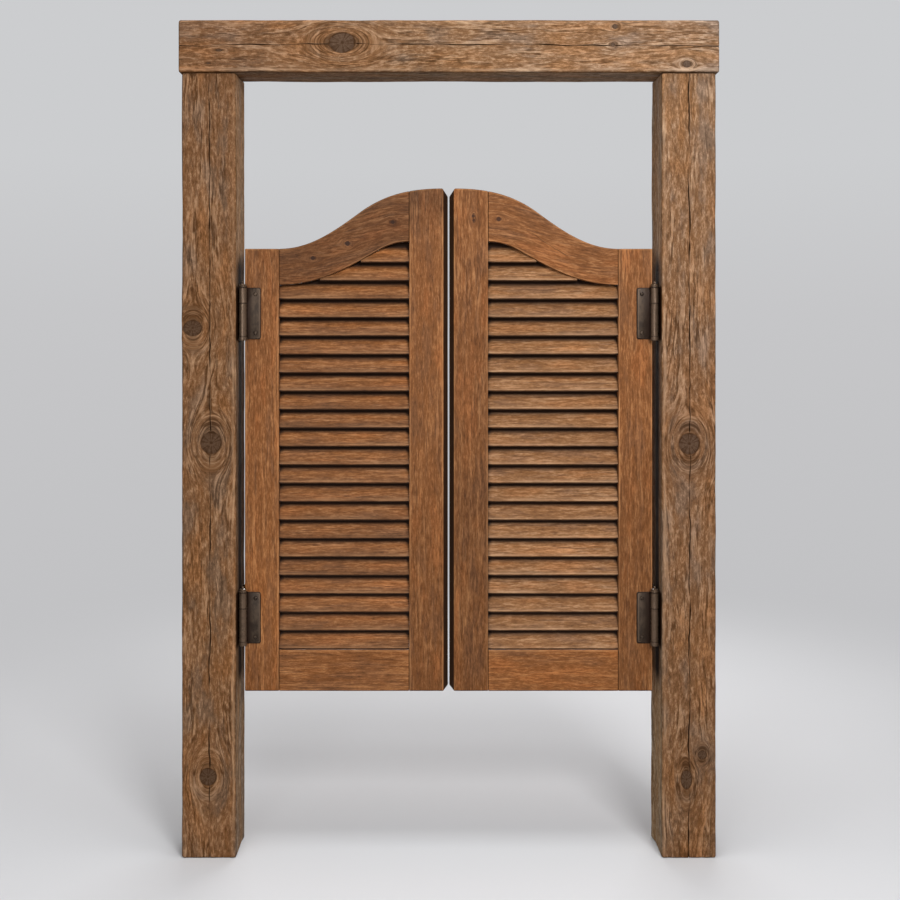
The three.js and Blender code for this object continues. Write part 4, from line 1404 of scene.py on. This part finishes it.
def worn_barrels(piece, axes, dirt=1.0):
    """Marks the barrels, which hands and leaves rub, round the axes given by their Y."""
    mesh = piece.data
    points = np.empty(3 * len(mesh.vertices))
    mesh.vertices.foreach_get("co", points)
    points = points.reshape(1, -1, 3)
    x, y, z = points[0].T
    near = np.min([np.hypot(x, y - axis) for axis in axes], axis=0)
    corners = np.empty(len(mesh.loops), int)
    starts = np.empty(len(mesh.polygons), int)
    mesh.loops.foreach_get("vertex_index", corners)
    mesh.polygons.foreach_get("loop_start", starts)
    skin = COLLAR_RADIUS + METAL_EDGE
    seams = np.any([np.abs(z - seam) < SEAM_REACH for seam in BARREL_SEAMS], axis=0)
    mark(mesh, "wear", (np.maximum.reduceat(near[corners], starts) < skin).astype(float), "FACE")
    mark(mesh, "soil", SEAM_DIRT * seams * (near < skin))
    mark(mesh, "place", points)
    # How far painted shade reaches over a plate
    mark(mesh, "reach", np.full_like(x, dirt))
    return piece


def screw(name):
    """A wood screw along Z, its point up, and its slotted head seated on a plate under height zero."""
    head_top = -PLATE_THICKNESS - 2 * SEAT
    head_bottom = head_top - SCREW_HEAD_HEIGHT
    piece = turned(name, [
        (2 * SCREW_TIP, head_bottom),
        (SCREW_DOME[0] * SCREW_HEAD_RADIUS, head_bottom + SCREW_TIP),
        (SCREW_HEAD_RADIUS, head_bottom + SCREW_DOME[1] * SCREW_HEAD_HEIGHT, head_top),
        (SCREW_RADIUS, head_top, SCREW_LENGTH - SCREW_POINT),
        (SCREW_TIP, SCREW_LENGTH),
    ], SCREW_BRONZE, edge=2 * SCREW_TIP, sides=24)
    wide = SCREW_HEAD_RADIUS + SLOT_WIDTH
    low = (-wide, -SLOT_WIDTH / 2, head_bottom - SLOT_DEPTH)
    high = (wide, SLOT_WIDTH / 2, head_bottom + SLOT_DEPTH)
    return combined(piece, box("slot", low, high, SCREW_BRONZE), operation="DIFFERENCE")


def flap(name, side, dirt):
    """A screwed plate with its long sprung knuckle. The plate runs to -X, on the side given, +Y or -Y."""
    knuckle = turned(name, [
        (PIN_TIP, KNUCKLE_FOOT),
        (COLLAR_RADIUS, KNUCKLE_FOOT, FOOT_COLLAR_TOP - SEAM_STEP, FOOT_COLLAR_TOP),
        (BARREL_RADIUS, FOOT_COLLAR_TOP, FOOT_COLLAR_TOP + SEAM_STEP),
        (BARREL_RADIUS, KNUCKLE_JOINT - SEAM_STEP, KNUCKLE_JOINT),
        (SPRING_BORE_RADIUS, KNUCKLE_JOINT, BORE_FLOOR),
        (PIN_TIP, BORE_FLOOR),
    ], BRONZE)
    plate_back = AXIS_STANDOFF - SEAT
    plate_front = plate_back - PLATE_THICKNESS
    inset = math.sqrt((COLLAR_RADIUS + RUNNING) ** 2 - plate_front**2)  # clears the web's knuckle
    outline = eased([
        (-PLATE_ROOT, -PLATE_TOP),
        (-PLATE_REACH, -PLATE_TOP),
        (-PLATE_REACH, PLATE_TOP),
        (-inset, PLATE_TOP),
    ], PLATE_CORNER, steps=6)
    outline = [*outline, (-inset, KNUCKLE_JOINT), (0, KNUCKLE_JOINT), (0, -PLATE_TOP)]
    plate = slab("plate", outline, 0, PLATE_THICKNESS, BRONZE)
    plate.data.flip_normals()
    middle = side * (plate_front + plate_back) / 2
    upright = Matrix.Rotation(math.pi / 2, 4, "X")
    placed(edge_eased(plate), Matrix.Translation((0, middle + PLATE_THICKNESS / 2, 0)) @ upright)
    y0, y1 = sorted((0, side * (plate_back - LET_IN)))
    curl = box("curl", (-PLATE_ROOT, y0, -PLATE_TOP), (-LET_IN, y1, KNUCKLE_JOINT - LET_IN), BRONZE)
    bore = turned("bore", [(SPRING_BORE_RADIUS, BORE_FLOOR, PLATE_TOP)], **CUTTER)
    combined(knuckle, plate, curl)
    return worn_barrels(combined(knuckle, bore, operation="DIFFERENCE"), [0], dirt)


def centre_web(name):
    """The web that joins the front and rear barrels by its two short knuckles."""
    bottom = KNUCKLE_JOINT + SEAT
    x = WEB_THICKNESS / 2
    inner = AXIS_Y - AXIS_STANDOFF - RUNNING
    outer = AXIS_Y - BARREL_RADIUS + WEB_LAP
    web = box(name, (-x, -inner, -PLATE_TOP), (x, inner, PLATE_TOP), BRONZE)
    arms = box("arms", (-x, -outer, bottom + 2 * LET_IN), (x, outer, PLATE_TOP - 2 * LET_IN), BRONZE)
    knuckles = []
    for y in (-AXIS_Y, AXIS_Y):
        knuckle = turned("knuckle", [
            (SPINDLE_BORE_RADIUS, bottom),
            (COLLAR_RADIUS, bottom, bottom + RING_HEIGHT),
            (BARREL_RADIUS, bottom + RING_HEIGHT, PLATE_TOP - SEAM_STEP, PLATE_TOP),
            (SPINDLE_BORE_RADIUS, PLATE_TOP),
        ], BRONZE, hollow=True)
        knuckles.append(placed(knuckle, Matrix.Translation((0, y, 0))))
    return worn_barrels(combined(web, arms, *knuckles), [-AXIS_Y, AXIS_Y])


def spindle(name):
    """The pin through both knuckles, the tension collar with its tommy-bar hole, its cap and finial."""
    collar_bottom = PLATE_TOP + SEAT
    collar_top = collar_bottom + TENSION_COLLAR_HEIGHT
    cap_top = collar_top + CAP_HEIGHT
    ball = cap_top + FINIAL_HEIGHT - FINIAL_RADIUS
    finial = circle(FINIAL_RADIUS, FINIAL_ARC) + (0, ball)
    piece = turned(name, [
        (PIN_TIP, BORE_FLOOR + SEAT),
        (SPINDLE_RADIUS, BORE_FLOOR + SEAT, collar_bottom),
        (COLLAR_RADIUS, collar_bottom, collar_top - CAP_GROOVE),
        (CAP_RADIUS - CAP_GROOVE, collar_top),
        (CAP_RADIUS, collar_top + CAP_GROOVE, cap_top),
        (FINIAL_NECK_RADIUS, cap_top),
        *finial,
    ], BRONZE)
    reach = COLLAR_RADIUS + METAL_EDGE
    hole = turned("hole", [(TOMMY_HOLE_RADIUS, -reach, reach)], sides=16, **CUTTER)
    level = Matrix.Translation((0, 0, (collar_bottom + collar_top) / 2))
    placed(hole, level @ Matrix.Rotation(math.pi / 2, 4, "X"))
    return worn_barrels(combined(piece, hole, operation="DIFFERENCE"), [0])


def make_hinge(side, sign, middle_height, level, rng):
    mirror = Matrix.Diagonal((sign, 1, 1, 1))
    middle = mirror @ Matrix.Translation((AXIS_X, 0, middle_height))
    front = middle @ Matrix.Translation((0, -AXIS_Y, 0))
    rear = middle @ Matrix.Translation((0, AXIS_Y, 0))
    quarter = Matrix.Rotation(math.pi / 2, 4, "Z")

    def add(part, maker, place, *options):
        node = f"{side}_{level}_{part}"
        stand_in(placed(maker(f"{node}_piece", *options), place), node)

    add("door_plate", flap, front, 1, PLATE_SHADE_REACH[side])
    add("jamb_plate", flap, rear @ quarter, -1, PLATE_SHADE_REACH[side])
    add("centre_web", centre_web, middle)
    add("front_spindle", spindle, front)
    add("rear_spindle", spindle, rear)
    into_leaf = Matrix.Rotation(-math.pi / 2, 4, "X")
    into_post = Matrix.Rotation(math.pi / 2, 4, "Y")
    for number, height in enumerate((SCREW_SPREAD, -SCREW_SPREAD), 1):
        twist = Matrix.Rotation(rng.uniform(0, math.pi), 4, "Z")
        leaf_face = Matrix.Translation((-SCREW_FROM_AXIS, AXIS_STANDOFF, height))
        add(f"door_screw_{number}", screw, front @ leaf_face @ into_leaf @ twist)
        post_face = Matrix.Translation((AXIS_STANDOFF, -SCREW_FROM_AXIS, height))
        add(f"jamb_screw_{number}", screw, rear @ post_face @ into_post @ twist)


def make_lag_screw(side, sign):
    """A hex-headed screw with a flange, down its counterbore in the lintel."""
    top = LINTEL_HIGH.z - LAG_SINK
    bottom = top - LAG_HEAD_HEIGHT
    node = f"{side}_lag_screw"
    piece = turned(f"{node}_piece", [
        (LAG_TIP, top - LAG_LENGTH),
        (LAG_RADIUS, top - LAG_LENGTH + 2 * LAG_RADIUS, bottom),
        (LAG_HEAD_RADIUS, bottom, bottom + LAG_FLANGE),
        (LAG_TIP, bottom + 2 * LAG_FLANGE),
    ], ZINC)
    hexagon = circle(LAG_HEX_RADIUS, np.arange(6) * math.tau / 6)
    combined(piece, edge_eased(slab("head", hexagon, bottom + LAG_FLANGE / 2, top, ZINC)))
    stand_in(placed(piece, Matrix.Translation((sign * POST_MIDDLE, 0, 0))), node)


def dress_springs():
    for name, node in frame["nodes"].items():
        if name.endswith("_spring"):
            node.data.materials.clear()
            node.data.materials.append(SPRING_STEEL)


SEEDS = {"post": 100, "lintel": 110, "board": 200, "slat": 300, "twist": 400}
LEAF_SEEDS = 20  # between the boards of one leaf and the other


def make_object():
    for order, (side, sign) in enumerate(SIDES.items()):
        make_post(side, sign, SEEDS["post"] + order)
    make_lintel(SEEDS["lintel"])
    for order, (side, sign) in enumerate(SIDES.items()):
        make_leaf_boards(side, sign, SEEDS["board"] + LEAF_SEEDS * order)
        make_louvres(side, sign, SEEDS["slat"] + order)
        make_lag_screw(side, sign)
        twists = np.random.default_rng(SEEDS["twist"] + order)
        for level, height in zip(LEVELS, HINGE_MIDDLES):
            make_hinge(side, sign, height, level, twists)
    dress_springs()


# Studio

FLOOR_RADIUS = 2.6
SWEEP_RADIUS = 3.2
WALL_TOP = 7.0
BACKDROP_SIDES = 96
SWEEP = np.radians(np.linspace(-90, 0, 24))
BACKDROP_ROUGH = 0.95
FLOOR_SHADE = colour(216, 216, 218)
STRAY_SHADE = colour(150, 150, 151)
WALL_SHADES = [(0.0, colour(194, 194, 196)), (0.2, colour(198, 198, 200)), (0.34, colour(204, 205, 207))]
FLOOR_FADE = (1.3, 3.3)  # where the lit floor gives way to the even backdrop, from the middle
SOFTBOXES = {  # place, size, power and target
    "key": ((1.3, -4.2, 3.2), (1.2, 1.0), 146, (0, 0, 1.1)),
    "fill": ((-1.2, -4.5, 1.4), (1.2, 1.2), 44, (0, 0, 1.0)),
    "top": ((0, -0.7, 4.8), (2.6, 1.8), 95, (0, 0, 0)),
    "rear": ((0.45, 4.2, 1.8), (4.0, 2.4), 140, (0, 0, 1.0)),
}
STRAY_LIGHT = 0.2

# The photograph's view: a level camera, its picture shifted down to the whole portal
CAMERA_PLACE = (-0.043, -3.519, 1.390)
CAMERA_LENS = 54.2
CAMERA_SHIFT = (0.020, -0.153)


def backdrop_paint():
    """Pale to the camera and in reflections, dim as a source of stray light, with shadows on its floor."""
    paint = Paint("backdrop")
    wall = paint.place().vector("LENGTH", output="Value").between(*FLOOR_FADE)
    pale = paint.ramp(paint.place().part("Z") * (1 / WALL_TOP), *WALL_SHADES)
    camera, glossy, transmission = (
        paint.node("LightPath", {}, f"Is {kind} Ray") for kind in ("Camera", "Glossy", "Transmission")
    )
    seen = camera | glossy | transmission
    lit = paint.mix(wall, FLOOR_SHADE, colour(0, 0, 0))
    return paint.finished({
        "Base Color": paint.mix(seen, STRAY_SHADE, lit),
        "Emission Color": pale,
        "Emission Strength": seen * wall,
        "Roughness": BACKDROP_ROUGH,
        "Specular IOR Level": 0.0,
    })


def make_backdrop():
    """A pale floor that sweeps up into a wall all round."""
    sweep = circle(SWEEP_RADIUS, SWEEP) + (FLOOR_RADIUS, SWEEP_RADIUS)
    profile = [*sweep, (FLOOR_RADIUS + SWEEP_RADIUS, WALL_TOP)]
    around = circle(1, np.linspace(0, math.tau, BACKDROP_SIDES, endpoint=False))
    points = [(0, 0, 0)] + [(r * x, r * y, z) for r, z in profile for x, y in around]
    index = 1 + np.arange(len(points) - 1).reshape(-1, BACKDROP_SIDES)
    index = np.concatenate([index, index[:, :1]], axis=1)
    quads = np.stack([index[:-1, :-1], index[1:, :-1], index[1:, 1:], index[:-1, 1:]], axis=-1)
    floor = [(0, int(a), int(b)) for a, b in zip(index[0], index[0, 1:])]
    mesh = bpy.data.meshes.new("backdrop")
    mesh.from_pydata(points, [], floor + quads.reshape(-1, 4).tolist())
    mesh.shade_smooth()
    mesh.materials.append(backdrop_paint())
    added("backdrop", mesh)


def add_softbox(name, place, size, power, target):
    lamp = bpy.data.lights.new(name, "AREA")
    lamp.shape = "RECTANGLE"
    lamp.size, lamp.size_y = size
    lamp.energy = power
    holder = added(name, lamp)
    holder.location = place
    holder.rotation_euler = (Vector(target) - Vector(place)).to_track_quat("-Z", "Y").to_euler()


def make_studio():
    make_backdrop()
    for name, settings in SOFTBOXES.items():
        add_softbox(name, *settings)
    world = bpy.data.worlds.new("studio")
    world.use_nodes = True
    background = world.node_tree.nodes["Background"].inputs
    background["Color"].default_value = (1, 1, 1, 1)
    background["Strength"].default_value = STRAY_LIGHT
    bpy.context.scene.world = world


def make_camera():
    data = bpy.data.cameras.new("camera")
    data.lens = CAMERA_LENS
    data.shift_x, data.shift_y = CAMERA_SHIFT
    camera = added("camera", data)
    camera.location = CAMERA_PLACE
    camera.rotation_euler = (math.pi / 2, 0, 0)
    bpy.context.scene.camera = camera


make_object()
make_studio()
make_camera()
bpy.context.scene.view_settings.view_transform = "Standard"

bpy.context.view_layer.update()
